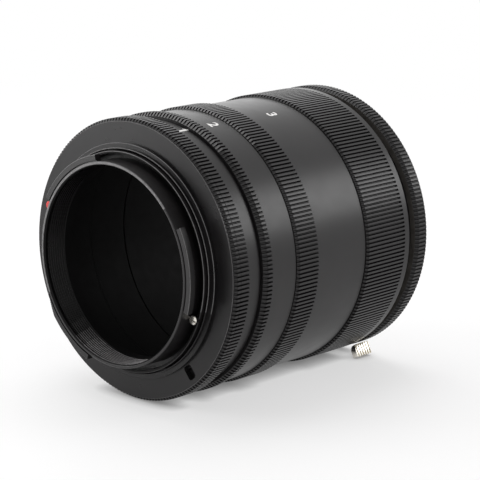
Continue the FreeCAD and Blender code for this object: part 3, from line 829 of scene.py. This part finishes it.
def flange_disc():
    """Disc that seats on the camera, its rim knurled in line with the first tube's grip."""
    corners = (
        (RING_SEAT, LIP_FRONT + FINE_EDGE),
        (RING_SEAT + FINE_EDGE, LIP_FRONT),
        (LIP - EDGE, LIP_FRONT),
        (LIP, LIP_FRONT + EDGE),
        (LIP, COLLAR_FRONT),
        (COLLAR - EDGE, COLLAR_FRONT),
        (COLLAR, COLLAR_FRONT + EDGE),
        (COLLAR, 0.0),
        (FLANGE_PLATE - FINE_EDGE, 0.0),
        (FLANGE_PLATE, FINE_EDGE),
        (FLANGE_PLATE, FLANGE_RIM),
        (FLANGE, FLANGE_RIM + FLANGE_LEAD),
        (FLANGE, FLANGE_REAR - SEAM),
        (FLANGE - SEAM, FLANGE_REAR),
        (THREAD_ROOT, FLANGE_REAR),
        (THREAD_ROOT, FLANGE_REAR + THREAD_LENGTH),
        (FOOT_SEAT, FLANGE_REAR + THREAD_LENGTH),
        (FOOT_SEAT, FOOT_FRONT),
        (RING_SEAT, FOOT_FRONT),
    )
    disc = turned("flange_disc", corners)
    knurl(disc, corners, FLANGE - GROOVE_DEPTH, FLANGE_RIM, FLANGE_REAR)
    low = LOCK_SLOT_PLACE - LOCK_SLOT_LENGTH / 2
    slot = block("lock_slot", LOCK_SLOT_WIDTH, -CUT_OVER, LOCK_SLOT_DEPTH, low, low + LOCK_SLOT_LENGTH)
    choose_edges(slot, lambda one, other: abs(one.y - other.y) > MM)
    bevel_chosen(LOCK_SLOT_CORNER, 3)
    cut(disc, [at_clock(slot, LOCK_SLOT_CLOCK)])
    cut(disc, [rod("index_seat", INDEX_RADIUS, INDEX_PLACE, -CUT_OVER, INDEX_DEPTH, INDEX_CLOCK)])
    paint(disc, FACE_BLACK)
    paint_faces(disc, BLACK, lambda point, normal: out_from_axis(point) > FLANGE_PLATE)
    paint_grooves(disc, FLANGE, GROOVE_DEPTH, FLANGE_RIM, FLANGE_REAR)
    # painted highlights on the plate's edge all round, and on the collar's and the lip's edges on one side
    paint_highlight(disc, FLANGE_PLATE - PAST, FLANGE_PLATE, 0.0, FINE_EDGE)
    paint_highlight(disc, RING_SEAT - PAST, COLLAR + PAST, LIP_FRONT - PAST, -PAST, EDGES_HIGHLIT)
    smooth(disc)
    carried(disc, "camera_adapter", "black_anodised", "camera_flange_ring")


def camera_bayonet():
    """Core, base ring and three lobes in one piece, with the ridges inside its mouth."""
    ridges_end = RIDGES_FROM + RIDGE_COUNT * RIDGE_PITCH
    mouth_end = CORE_FRONT + MOUTH_DEPTH
    crest_edge = CORE_BORE + RIDGE_HEIGHT * CREST_SLANT
    corners = [(CORE_BORE, FOOT_REAR), (CORE_BORE, ridges_end)]
    for ridge in range(RIDGE_COUNT):
        place = ridges_end - ridge * RIDGE_PITCH
        corners.append((CORE_BORE + RIDGE_HEIGHT, place - RIDGE_PITCH * RIDGE_DEEPEST))
        corners.append((CORE_BORE, place - RIDGE_PITCH * CREST_START))
        corners.append((crest_edge, place - RIDGE_PITCH * (CREST_START + CREST_WIDTH)))
    corners.extend((
        (CORE_BORE, mouth_end),
        (crest_edge, mouth_end - RIDGE_PITCH * CREST_WIDTH),
        (MOUTH_RADIUS, CORE_FRONT + STEP_EDGE),
        (MOUTH_RADIUS + FINE_EDGE, CORE_FRONT),
        (CORE - CORE_LIP, CORE_FRONT),
        (CORE, CORE_FRONT + RIM_EDGE),
        (CORE, LOBE_GROOVE_FLOOR),
        (CORE, LOBE_REAR),
        (CORE, RECESS_FLOOR),
        (RING_INNER, RECESS_FLOOR),
        (RING_INNER, RING_FRONT + SEAM),
        (RING_INNER + SEAM, RING_FRONT),
        (RING_OUTER - RIM_EDGE, RING_FRONT),
        (RING_OUTER, RING_FRONT + RIM_EDGE),
        (RING_OUTER, FOOT_FRONT),
        (FOOT, FOOT_FRONT),
        (FOOT, FOOT_REAR),
    ))
    mount = turned("bayonet_ring", corners)
    for first, last in LOBES:
        raise_lobe(mount, first, last)
    ramp_lobe(mount, LOBES[2][1])
    boss = rod("stop_boss", STOP_POST / 2, STOP_PLACE, STOP_SEAT, RECESS_FLOOR + BOSS_SUNK, STOP_CLOCK)
    mount = join([mount, boss], "bayonet_ring")
    cut(mount, ring_of_rods("head_seat", FOOT_SCREW_HEAD / 2 + SCREW_CLEARANCE, FOOT_SCREW_PLACE,
                            FOOT_REAR - FOOT_SCREW_HEAD_HEIGHT, FOOT_REAR + CUT_OVER, FOOT_SCREWS))
    paint(mount, BLACK)
    # painted shade: the mouth's walls darker than their dull finish alone
    paint_inside(mount, CORE - CORE_DEPTH, CORE_FRONT + PAST, DEEP_SHADE_BLACK)
    paint_inside(mount, CORE - CORE_DEPTH, 0.0)
    crest_middle = CREST_START + CREST_WIDTH / 2
    crests = [ridges_end - RIDGE_PITCH * (ridge + crest_middle) for ridge in range(RIDGE_COUNT)]
    crests.append(mouth_end - RIDGE_PITCH * CREST_WIDTH / 2)
    # the crests get painted highlights that brighten in steps round toward the bottom
    for number, place in enumerate(crests):
        for material, start in ((BLACK, RIDGES_LIT), (PAINTED_HIGHLIGHT, RIDGES_HIGHLIT), (BRIGHT_HIGHLIGHT, RIDGES_BRIGHTEST)):
            light_ridge(mount, place, material, start - RIDGE_STAGGER * number)
    # painted shade on the base ring's front face behind the lobes
    paint_faces(mount, DEEP_SHADE_BLACK, lambda point, normal: normal.y < -SQUARE
                and at_place(point, RING_FRONT, CLOSE) and out_from_axis(point) > CORE)
    # painted highlights on the base ring's edge on one side, on the mouth's rim and on the lobes' edges
    paint_highlight(mount, RING_OUTER - RIM_EDGE, RING_OUTER + PAST, RING_FRONT - PAST, 0.0, EDGES_HIGHLIT)
    paint_faces(mount, PAINTED_HIGHLIGHT, lambda point, normal: normal.y < -SLANTED
                and point.y / MM < CORE_FRONT + RIM_DEPTH
                and out_from_axis(point) < CORE + NEAR and in_sector(point, *RIM_HIGHLIT))
    paint_highlight(mount, LOBE_TIP - 2 * PAST, LOBE_TIP + PAST, LOBE_FRONT - NEAR, LOBE_FRONT + 3 * PAST)
    smooth(mount)
    carried(mount, "camera_adapter", "black_anodised", "camera_bayonet")


def light_ridge(mount, place, material, start):
    """Gives the crest of one ridge in the mouth a brighter finish, a painted highlight, from a clock angle on
    round the bottom.
    """

    def crest(point, normal):
        near = at_place(point, place, RIDGE_PITCH * CREST_REACH) and out_from_axis(point) < CORE_BORE + PAST
        return near and in_sector(point, RIDGES_END, start)

    paint_faces(mount, material, crest)


def choose_wall(piece, radius, front, rear, first, last):
    """Selects the faces of a round wall between two places, on a span of clock angles."""
    middle = (front + rear) / 2
    choose_faces(piece, lambda point, normal: at_radius(point, radius, NEAR)
                 and at_place(point, middle, NEAR) and in_sector(point, first, last))


def raise_lobe(mount, first, last):
    """Extrudes one lobe from the core's wall, with the narrow groove at its root."""
    choose_wall(mount, CORE, LOBE_GROOVE_FLOOR, LOBE_REAR, first, last)
    push_out(CORE, LOBE_GROOVE_OUT)
    push_out(LOBE_GROOVE_OUT, LOBE_TIP)

    def front(point, normal):
        return (normal.y < -SQUARE and at_place(point, LOBE_GROOVE_FLOOR, CLOSE)
                and LOBE_GROOVE_OUT < out_from_axis(point) < LOBE_TIP and in_sector(point, first, last))

    choose_faces(mount, front)
    step = (0, (LOBE_FRONT - LOBE_GROOVE_FLOOR) * MM, 0)
    bpy.ops.mesh.extrude_region_move(TRANSFORM_OT_translate={"value": step})

    def rim(one, other):
        for place in (LOBE_FRONT, LOBE_REAR):
            if all(at_radius(end, LOBE_TIP, HAIR) and at_place(end, place, HAIR)
                   and in_sector(end, first - LOBE_MARGIN, last + LOBE_MARGIN) for end in (one, other)):
                return True
        return False

    choose_edges(mount, rim)
    bevel_chosen(EDGE, 1)


def ramp_lobe(mount, end):
    """Eases a lobe's tip down toward the core over the last degrees before its end."""
    width = LOBE_RAMP / LOBE_RAMP_STEPS
    for step in range(LOBE_RAMP_STEPS):
        start = end - LOBE_RAMP + width * step
        stop = start + width if step < LOBE_RAMP_STEPS - 1 else end + LOBE_MARGIN

        def on_tip(point, start=start, stop=stop):
            return (out_from_axis(point) > LOBE_GROOVE_OUT + 3 * PAST
                    and LOBE_FRONT - PAST < point.y / MM < LOBE_REAR + PAST
                    and start < clock_of(point) <= stop)

        choose(mount, on_tip)
        drop = LOBE_TIP - LOBE_GROOVE_OUT - LOBE_RAMP_LEFT
        shrink = (LOBE_TIP - drop * (step + 1) / LOBE_RAMP_STEPS) / LOBE_TIP
        bpy.ops.transform.resize(value=(shrink, 1, shrink), center_override=(0, 0, 0))
        object_mode()


def tube(name, front, step, rear, grip, band, lead, socket, body, node):
    """One extension ring: knurled grip, plain band and threaded spigot."""
    corners = (
        (THREAD + THREAD_CHAMFER, front),
        (grip - lead, front),
        (grip, front + lead),
        (grip, step - GRIP_END),
        (grip - GRIP_END, step),
        (band, step),
        (band, rear - GRIP_END),
        (band - GRIP_END, rear),
        (THREAD_ROOT, rear),
        (THREAD_ROOT, rear + THREAD_LENGTH - THREAD_CHAMFER),
        (THREAD_ROOT - THREAD_CHAMFER, rear + THREAD_LENGTH),
        (BORE + EDGE, rear + THREAD_LENGTH),
        (BORE, rear + THREAD_LENGTH - EDGE),
        (BORE, front + socket),
        (THREAD, front + socket),
        (THREAD, front + THREAD_CHAMFER),
    )
    ring = turned(name, corners)
    knurl(ring, corners, grip - GROOVE_DEPTH, front, step)
    paint(ring, BLACK)
    paint_inside(ring, THREAD + SOCKET_REACH)
    paint_grooves(ring, grip, GROOVE_DEPTH, front, step)
    # painted highlights on the front ends of the teeth on one side and on the band's rear edge
    if lead > GRIP_LEAD:
        paint_highlight(ring, grip - lead * LEAD_HIGHLIT, grip + PAST, front - PAST, front + lead + NEAR, TEETH_HIGHLIT)
    paint_highlight(ring, band - 3 * PAST, band + PAST, rear - 3 * PAST, rear + PAST)
    smooth(ring)
    carried(ring, body, "black_anodised", node)


def adapter_body():
    """Grip ring with its lip, the lever's groove and the housing of the lens bayonet."""
    corners = (
        (THREAD + THREAD_CHAMFER, ADAPTER_FRONT),
        (GRIP - GRIP_LEAD, ADAPTER_FRONT),
        (GRIP, ADAPTER_FRONT + GRIP_LEAD),
        (GRIP, KNURL_END - EDGE),
        (GRIP, KNURL_END),
        (GRIP, GROOVE_FRONT - LIP_CHAMFER),
        (GRIP - LIP_CHAMFER, GROOVE_FRONT),
        (NECK, GROOVE_FRONT),
        (NECK, BODY_REAR),
        (THROAT_BORE, BODY_REAR),
        (THROAT_BORE, THROAT_END),
        (CHAMBER, THROAT_END),
        (CHAMBER, CHAMBER_FRONT),
        (WEB_BORE, CHAMBER_FRONT),
        (WEB_BORE, WEB_FRONT),
        (BORE, WEB_FRONT),
        (BORE, ADAPTER_FRONT + SOCKET_DEPTH),
        (THREAD, ADAPTER_FRONT + SOCKET_DEPTH),
        (THREAD, ADAPTER_FRONT + THREAD_CHAMFER),
    )
    body = turned("adapter_body", corners)
    knurl(body, corners, GRIP - GROOVE_DEPTH, ADAPTER_FRONT, KNURL_END - NEAR)
    cutter_end = BODY_REAR + CUT_OVER
    cut(body, [block("pocket", LEVER_FOOT_WIDTH + 2 * POCKET_SIDE, GROOVE_FRONT, cutter_end, POCKET_INNER,
                     NECK + CUT_OVER, LEVER_CLOCK)])
    cut(body, [rod("well", WELL_RADIUS, PIN_PLACE, WELL_FLOOR, GROOVE_FRONT + CUT_OVER, LEVER_CLOCK)])
    hole_floor = LENS_FACE - PLATE_SCREW_HEAD_HEIGHT - PLATE_SCREW_LENGTH - SCREW_END_GAP
    cut(body, plate_screw_holes(hole_floor, cutter_end))
    paint(body, BLACK)
    paint_inside(body, THREAD + SOCKET_REACH)
    paint_grooves(body, GRIP, GROOVE_DEPTH, ADAPTER_FRONT, KNURL_END)
    # a lighter, duller black on one side of the neck
    paint_faces(body, LIGHTER_DULL_BLACK, lambda point, normal: at_radius(point, NECK, CLOSE)
                and GROOVE_FRONT < point.y / MM < REAR_RING_FRONT and in_sector(point, *LIGHTER_ARC))
    smooth(body)
    carried(body, "lens_adapter", "black_anodised", "lens_adapter_body")


def rear_ring():
    """Finely knurled ring between the adapter body and the bayonet plate."""
    corners = (
        (NECK + RING_PLAY, REAR_RING_FRONT),
        (GRIP - REAR_RING_LEAD, REAR_RING_FRONT),
        (GRIP, REAR_RING_FRONT + REAR_RING_LEAD),
        (GRIP, REAR_RING_REAR - GRIP_END),
        (GRIP - GRIP_END, REAR_RING_REAR),
        (PLATE + RING_PLAY, REAR_RING_REAR),
        (PLATE + RING_PLAY, PLATE_FRONT),
        (THROAT_BORE + RING_PLAY, PLATE_FRONT),
        (THROAT_BORE + RING_PLAY, BODY_REAR),
        (NECK + RING_PLAY, BODY_REAR),
    )
    ring = turned("rear_ring", corners)
    knurl(ring, corners, GRIP - REAR_GROOVE_DEPTH, REAR_RING_FRONT, REAR_RING_REAR)
    front, rear = BODY_REAR - CUT_OVER, PLATE_FRONT + CUT_OVER
    pin_hole = rod("pin_hole", PIN_WEB_HOLE, PIN_PLACE, front, rear, LEVER_CLOCK)
    cut(ring, [pin_hole] + plate_screw_holes(front, rear))
    paint(ring, BLACK)
    paint_grooves(ring, GRIP, REAR_GROOVE_DEPTH, REAR_RING_FRONT, REAR_RING_REAR)
    # a lighter, duller black on the ring's front face
    paint_faces(ring, LIGHTER_DULL_BLACK, lambda point, normal: normal.y < -SQUARE
                and at_place(point, REAR_RING_FRONT, CLOSE))
    smooth(ring)
    carried(ring, "lens_adapter", "black_anodised", "rear_knurled_ring")


def lens_plate():
    """Bayonet plate with a stepped throat and three lugs that catch the lens."""
    corners = (
        (THROAT_STEP, THROAT_END),
        (THROAT_TUBE, THROAT_END),
        (THROAT_TUBE, PLATE_FRONT),
        (PLATE, PLATE_FRONT),
        (PLATE, LENS_FACE - PLATE_EDGE),
        (PLATE - PLATE_EDGE, LENS_FACE),
        (COLLAR_SEAT + SEAT_EDGE, LENS_FACE),
        (COLLAR_SEAT, LENS_FACE - SEAT_EDGE),
        (COLLAR_SEAT, COLLAR_FLOOR),
        (THROAT_ENTRY + STEP_EDGE, COLLAR_FLOOR),
        (THROAT_ENTRY, COLLAR_FLOOR - STEP_EDGE),
        (THROAT_ENTRY, ENTRY_FLOOR),
        (THROAT_STEP + STEP_EDGE, ENTRY_FLOOR),
        (THROAT_STEP, ENTRY_FLOOR - STEP_EDGE),
        (THROAT_STEP, LUG_REAR),
    )
    plate = turned("lens_plate", corners)
    for first, last in LUGS:
        choose_wall(plate, THROAT_STEP, THROAT_END, LUG_REAR, first, last)
        push_out(THROAT_STEP, LUG_TIP)
        object_mode()
    rear = LENS_FACE + CUT_OVER
    heads = ring_of_rods("head_seat", PLATE_SCREW_HEAD / 2 + SCREW_CLEARANCE, PLATE_SCREW_PLACE,
                         LENS_FACE - PLATE_SCREW_HEAD_HEIGHT, rear, PLATE_SCREWS, PLATE_SCREW_CLOCK)
    heads.append(rod("pin_hole", PIN_HOLE, PIN_PLACE, PLATE_FRONT - CUT_OVER, rear, LEVER_CLOCK))
    heads.append(rod("index_seat", INDEX_RADIUS, LENS_INDEX_PLACE, LENS_FACE - INDEX_DEPTH, rear,
                     INDEX_CLOCK))
    cut(plate, heads)
    cut(plate, plate_screw_holes(PLATE_FRONT - CUT_OVER, LENS_FACE - CUT_OVER))
    paint(plate, CHROME)
    smooth(plate)
    carried(plate, "lens_adapter", "chromed_brass", "lens_bayonet_plate")


# figures


# text, clock angle, radius, place, height, added stroke and body of each figure
FIGURES = (
    ("1", 16.2, TUBE_ONE_BAND, 7.4, 2.7, 0.12, "first_tube"),
    ("2", 18.3, TUBE_BAND, 15.1, 2.6, 0.08, "second_tube"),
    ("3", 18.4, TUBE_BAND, 33.2, 2.6, 0.08, "third_tube"),
)
# text size for a figure one millimetre high, and half the thickness of its paint
TEXT_SIZE = 1.38
PAINT_RISE = 0.02
# flag of the figure 1: how far it lies to the left and under the top, its turn and its size
FLAG_LEFT = 0.36
FLAG_UNDER = 0.42
FLAG_TURN = 48
FLAG_SIZE = (1.0, 0.34, 0.04)


def figure(text, clock, radius, place, height, stroke, body):
    """A painted number on a band, its top toward the lens."""
    clear_choice()
    bpy.ops.object.text_add(location=(0, 0, 0))
    letters = bpy.context.object.data
    letters.body = text
    letters.size = height * MM * TEXT_SIZE
    letters.align_x = "CENTER"
    letters.align_y = "CENTER"
    letters.offset = stroke * MM
    letters.extrude = PAINT_RISE * MM
    bpy.ops.object.convert(target="MESH")
    sign = bpy.context.object
    if text == "1":
        sign = join([sign, flag_of_one(height)], "figure_1")
    sign.location = (0, place * MM, radius * MM)
    sign = named("figure_" + text)
    edit_mode()
    bpy.ops.mesh.select_all(action="SELECT")
    bpy.ops.mesh.remove_doubles(threshold=DOUBLES / 2 * MM)
    object_mode()
    at_clock(sign, clock)
    paint(sign, WHITE)
    carried(sign, body, None)


def flag_of_one(height):
    """The slanted stroke at the head of the figure 1."""
    clear_choice()
    bpy.ops.mesh.primitive_cube_add(size=1, location=(-FLAG_LEFT * MM, (height / 2 - FLAG_UNDER) * MM, 0),
                                    rotation=(0, 0, math.radians(FLAG_TURN)),
                                    scale=[side * MM for side in FLAG_SIZE])
    return named("flag")


# screws


def slotted_screw():
    """Bright pan head with one driver slot, which stops the bayonet's turn."""
    top = STOP_SEAT - STOP_HEAD_HEIGHT
    head = rod("stop_screw_head", STOP_HEAD / 2, STOP_PLACE, top, STOP_SEAT, sides=40)
    choose(head, lambda point: point.y / MM < top + NEAR)
    bevel_chosen(STOP_HEAD_ROUND, 5)
    cut(head, [block("slot", STOP_SLOT_WIDTH, top - CUT_OVER, top + STOP_SLOT_DEPTH,
                     STOP_PLACE - STOP_HEAD, STOP_PLACE + STOP_HEAD)])
    shank = rod("stop_screw_shank", STOP_SHANK / 2, STOP_PLACE, STOP_SEAT - HAIR,
                STOP_SEAT + STOP_SHANK_LENGTH, sides=32)
    screw = at_clock(join([head, shank], "stop_screw_piece"), STOP_CLOCK)
    paint(screw, NICKEL)
    smooth(screw)
    carried(screw, "camera_adapter", "bright_steel", "stop_screw")


def cross_screws(name, count, first_clock, place, face, head_size, head_height, shank_size, shank_length,
                 material, body, slot, node):
    """A ring of flat-headed screws with cross recesses."""
    head = rod(name + "_head", head_size / 2, place, face - head_height, face, sides=40)
    choose(head, lambda point: point.y / MM > face - NEAR)
    bevel_chosen(EDGE, 2)
    reach = head_size * CROSS_REACH
    for width, out in ((CROSS_WIDTH, reach), (2 * reach, CROSS_WIDTH / 2)):
        cut(head, [block("arm", width, face - CROSS_DEPTH, face + CUT_OVER, place - out, place + out)])
    shank = rod(name + "_shank", shank_size / 2, place, face - head_height - shank_length,
                face - head_height + HAIR, sides=24)
    first = join([head, shank], name + "_first")
    screws = []
    for number in range(count):
        screw = copy_of(first, name + "_%d" % number)
        screws.append(at_clock(screw, first_clock + 360.0 * number / count))
    bpy.data.objects.remove(first, do_unlink=True)
    group = join(screws, name)
    paint(group, material)
    smooth(group)
    carried(group, body, slot, node)


# lever and spring


def release_lever():
    """Lever foot and neck with the ribbed thumb pad that hangs below the ring."""
    half = LEVER_PAD_THICKNESS / 2
    foot = block("lever_foot", LEVER_FOOT_WIDTH, LEVER_FOOT_FRONT, LEVER_FOOT_REAR, LEVER_FOOT_INNER,
                 NECK + LEVER_SHOULDER)
    neck = block("lever_neck", LEVER_PAD_THICKNESS, LEVER_FOOT_FRONT, LEVER_FOOT_REAR,
                 NECK, LEVER_PAD_INNER + NECK_SUNK)
    pad = block("lever_pad", LEVER_PAD_THICKNESS, LEVER_PAD_FRONT, LEVER_PAD_REAR, LEVER_PAD_INNER,
                LEVER_PAD_OUTER)
    choose(pad, lambda point: point.y / MM < LEVER_PAD_FRONT + HAIR
           and point.z / MM < LEVER_PAD_INNER + HAIR)
    bevel_chosen(LEVER_PAD_NOSE, 3)
    round_bevel(pad, RIM_EDGE, 2)
    round_bevel(foot, FINE_EDGE, 1)
    for number in range(RIB_COUNT):
        start = LEVER_PAD_FRONT + RIB_PITCH * (number + 0.5)
        groove = block("rib_groove", 2 * RIB_HEIGHT, start, start + RIB_PITCH / 2,
                       LEVER_PAD_INNER - CUT_OVER, LEVER_PAD_OUTER + CUT_OVER)
        take(groove)
        groove.location = (-half * MM, 0, 0)
        settle()
        cut(pad, [groove])
    lever = at_clock(join([pad, neck, foot], "lever"), LEVER_CLOCK)
    cut(lever, [rod("rivet_hole", RIVET_RADIUS, PIN_PLACE, LEVER_FOOT_FRONT - CUT_OVER,
                    LEVER_FOOT_REAR + CUT_OVER, LEVER_CLOCK)])
    paint(lever, NICKEL)
    turn = math.radians(LEVER_CLOCK)

    def in_rib_groove(point, normal):
        across = (point.x * math.cos(turn) - point.z * math.sin(turn)) / MM
        inside_pad = LEVER_PAD_FRONT + 3 * PAST < point.y / MM < LEVER_PAD_REAR - PAST
        out = out_from_axis(point) > LEVER_PAD_INNER + PAST
        return inside_pad and out and NEAR < across + half < RIB_HEIGHT + NEAR

    # painted shade: a darker nickel in the rib grooves
    paint_faces(lever, RIB_SHADE_NICKEL, in_rib_groove)
    smooth(lever)
    carried(lever, "release", "bright_steel", "release_lever")


def coil_spring():
    """Return coil, pressed short in its well."""
    clear_choice()
    wire = SPRING_WIRE / 2
    bpy.ops.mesh.primitive_circle_add(vertices=WIRE_SIDES, radius=wire * MM,
                                      location=((SPRING_RADIUS - wire) * MM, 0, 0))
    coil = named("return_coil")
    modifier = coil.modifiers.new("turns", "SCREW")
    modifier.axis = "Y"
    modifier.angle = 2 * math.pi * SPRING_TURNS
    modifier.screw_offset = (SPRING_END - WELL_FLOOR - SPRING_WIRE) * MM
    modifier.steps = TURN_STEPS * SPRING_TURNS
    modifier.render_steps = TURN_STEPS * SPRING_TURNS
    modifier.use_merge_vertices = True
    apply(coil, modifier)
    coil.location = (0, (WELL_FLOOR + wire) * MM, PIN_PLACE * MM)
    coil = named("return_coil")
    edit_mode()
    bpy.ops.mesh.select_all(action="SELECT")
    bpy.ops.mesh.normals_make_consistent(inside=False)
    object_mode()
    at_clock(coil, LEVER_CLOCK)
    paint(coil, SPRING)
    smooth(coil, 60.0)
    carried(coil, "lens_adapter", "spring_steel", "lever_spring")


def carried_over_nodes():
    """Finishes for the plain nodes whose shape is already right."""
    finishes = (
        ("camera_index_mark", RED),
        ("lens_index_mark", RED),
        ("lock_pin", NICKEL),
        ("bayonet_spring_one", SPRING),
        ("bayonet_spring_two", SPRING),
        ("bayonet_spring_three", SPRING),
    )
    for name, material in finishes:
        paint(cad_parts[name], material)


# stage


# height of the table in millimetres, and its size in metres
FLOOR_LEVEL = -30.52
FLOOR_SIZE = 6.0
# distances in metres between which the table fades into plain white
FADE = (0.07, 0.45)
# share of the floor's tone that the camera sees as plain white, which keeps its shadow pale
FLOOR_GLOW = 0.6
# reach and darkest tone of the thin shadow painted into the table's glow where the tube rests on it
CONTACT_REACH = 3.0
CONTACT_TONE = 0.22
# colour and strength of the light from all round
SURROUND = (1.0, 0.99, 0.985, 1)
SURROUND_LEVEL = 0.5
WHITE_LIGHT = (1, 1, 1, 1)
# name, place, point that it faces, side and watts of each lamp, in metres
LAMPS = (
    ("top_softbox", (-0.25, 0.15, 0.7), (0, 0.03, 0), 0.6, 3.6),
    ("back_softbox", (-0.53, 0.60, 0.22), (0, 0.03, 0), 0.35, 0.28),
    ("side_softbox", (0.49, 0.60, 0.32), (0, 0.03, 0), 0.33, 1.4),
    ("front_softbox", (-0.34, -0.22, 0.10), (0, 0.0, 0), 0.25, 1.2),
)
# where the camera stands in metres, where it looks, and its lens and sensor in millimetres
CAMERA_PLACE = (0.30397, -0.28549, 0.10217)
CAMERA_LOOK = (-0.671977, 0.704506, -0.228300)
CAMERA_LENS = 152.24
CAMERA_SENSOR = 36.0


def pale_floor():
    """Plain white table, which keeps the object's soft shadow and fades into the white beyond."""
    clear_choice()
    bpy.ops.mesh.primitive_plane_add(size=FLOOR_SIZE, location=(0, 0, FLOOR_LEVEL * MM))
    floor = named("floor")
    finish = Finish("white_table", specular=0.2)
    finish.tone(3.0, 2.0, (0.86, 0.855, 0.86), (0.88, 0.875, 0.88))
    finish.put("Roughness", 0.6)
    distance = finish.add("VectorMath", {0: finish.place}, operation="LENGTH").outputs["Value"]
    far = finish.add("MapRange", {"Value": distance, "From Min": FADE[0], "From Max": FADE[1]},
                     interpolation_type="SMOOTHSTEP")
    white = finish.maths("MAXIMUM", far.outputs["Result"], FLOOR_GLOW)
    # ambient occlusion darkens the camera-seen glow near the tube: a painted contact shadow
    contact = finish.add("AmbientOcclusion", {"Distance": CONTACT_REACH * MM}, samples=16)
    open_share = finish.maths("MULTIPLY", contact.outputs["AO"], 1.0 - CONTACT_TONE)
    level = finish.maths("ADD", open_share, CONTACT_TONE)
    glow = finish.add("Emission", {"Color": WHITE_LIGHT, "Strength": level})
    blend(finish.tree, finish.maths("MULTIPLY", white, seen_directly(finish.tree)),
          finish.shader.outputs["BSDF"], glow.outputs["Emission"], "Material Output")
    paint(floor, finish.material)


def seen_directly(tree):
    """1 for camera, glossy and transmission rays, 0 for the rays that light the object."""
    path = add_node(tree, "LightPath", {}).outputs
    either = maths(tree, "MAXIMUM", path["Is Camera Ray"], path["Is Glossy Ray"])
    return maths(tree, "MAXIMUM", either, path["Is Transmission Ray"])


def blend(tree, share, lighting, shown, output):
    """Shows the second shader in place of the first where the share is 1."""
    made = add_node(tree, "MixShader", {"Fac": share, 1: lighting, 2: shown})
    tree.links.new(made.outputs["Shader"], tree.nodes[output].inputs["Surface"])


def white_surround():
    """White background, with a plain level of light from all round."""
    world = bpy.data.worlds.new("white_surround")
    world.use_nodes = True
    tree = world.node_tree
    light = tree.nodes["Background"]
    light.inputs["Color"].default_value = SURROUND
    light.inputs["Strength"].default_value = SURROUND_LEVEL
    seen = add_node(tree, "Background", {"Color": WHITE_LIGHT, "Strength": 1.0})
    blend(tree, seen_directly(tree), light.outputs["Background"], seen.outputs["Background"],
          "World Output")
    bpy.context.scene.world = world


def soft_light(name, place, target, size, power):
    """A square lamp turned toward a point."""
    clear_choice()
    bpy.ops.object.light_add(type="AREA", location=place)
    lamp = bpy.context.object
    lamp.name = name
    lamp.data.size = size
    lamp.data.energy = power
    lamp.rotation_euler = (Vector(target) - Vector(place)).to_track_quat("-Z", "Y").to_euler()


def camera():
    """Stands where the photograph was taken from."""
    clear_choice()
    bpy.ops.object.camera_add(location=CAMERA_PLACE)
    eye = bpy.context.object
    eye.rotation_euler = Vector(CAMERA_LOOK).to_track_quat("-Z", "Y").to_euler()
    eye.data.sensor_width = CAMERA_SENSOR
    eye.data.lens = CAMERA_LENS
    bpy.context.scene.camera = eye


flange_disc()
camera_bayonet()
tube("first_ring", FLANGE_REAR, TUBE_ONE_STEP, TUBE_TWO_FRONT, FLANGE, TUBE_ONE_BAND, SEAM,
     SOCKET_DEPTH, "first_tube", "tube_one")
tube("second_ring", TUBE_TWO_FRONT, TUBE_TWO_STEP, TUBE_THREE_FRONT, GRIP, TUBE_BAND, SECOND_LEAD,
     CLOSE_SOCKET, "second_tube", "tube_two")
tube("third_ring", TUBE_THREE_FRONT, TUBE_THREE_STEP, ADAPTER_FRONT, GRIP, TUBE_BAND, THIRD_LEAD,
     SOCKET_DEPTH, "third_tube", "tube_three")
adapter_body()
rear_ring()
lens_plate()
slotted_screw()
cross_screws("mount_screws", FOOT_SCREWS, 0.0, FOOT_SCREW_PLACE, FOOT_REAR, FOOT_SCREW_HEAD,
             FOOT_SCREW_HEAD_HEIGHT, FOOT_SCREW_SHANK, FOOT_SCREW_LENGTH, DARK_STEEL,
             "camera_adapter", "dark_steel", "bayonet_screws")
cross_screws("lens_plate_screws", PLATE_SCREWS, PLATE_SCREW_CLOCK, PLATE_SCREW_PLACE, LENS_FACE,
             PLATE_SCREW_HEAD, PLATE_SCREW_HEAD_HEIGHT, PLATE_SCREW_SHANK, PLATE_SCREW_LENGTH, NICKEL,
             "lens_adapter", "bright_steel", "plate_screws")
release_lever()
coil_spring()
for sign in FIGURES:
    figure(*sign)
carried_over_nodes()

pale_floor()
white_surround()
for lamp in LAMPS:
    soft_light(*lamp)
camera()
bpy.context.scene.view_settings.view_transform = "Standard"
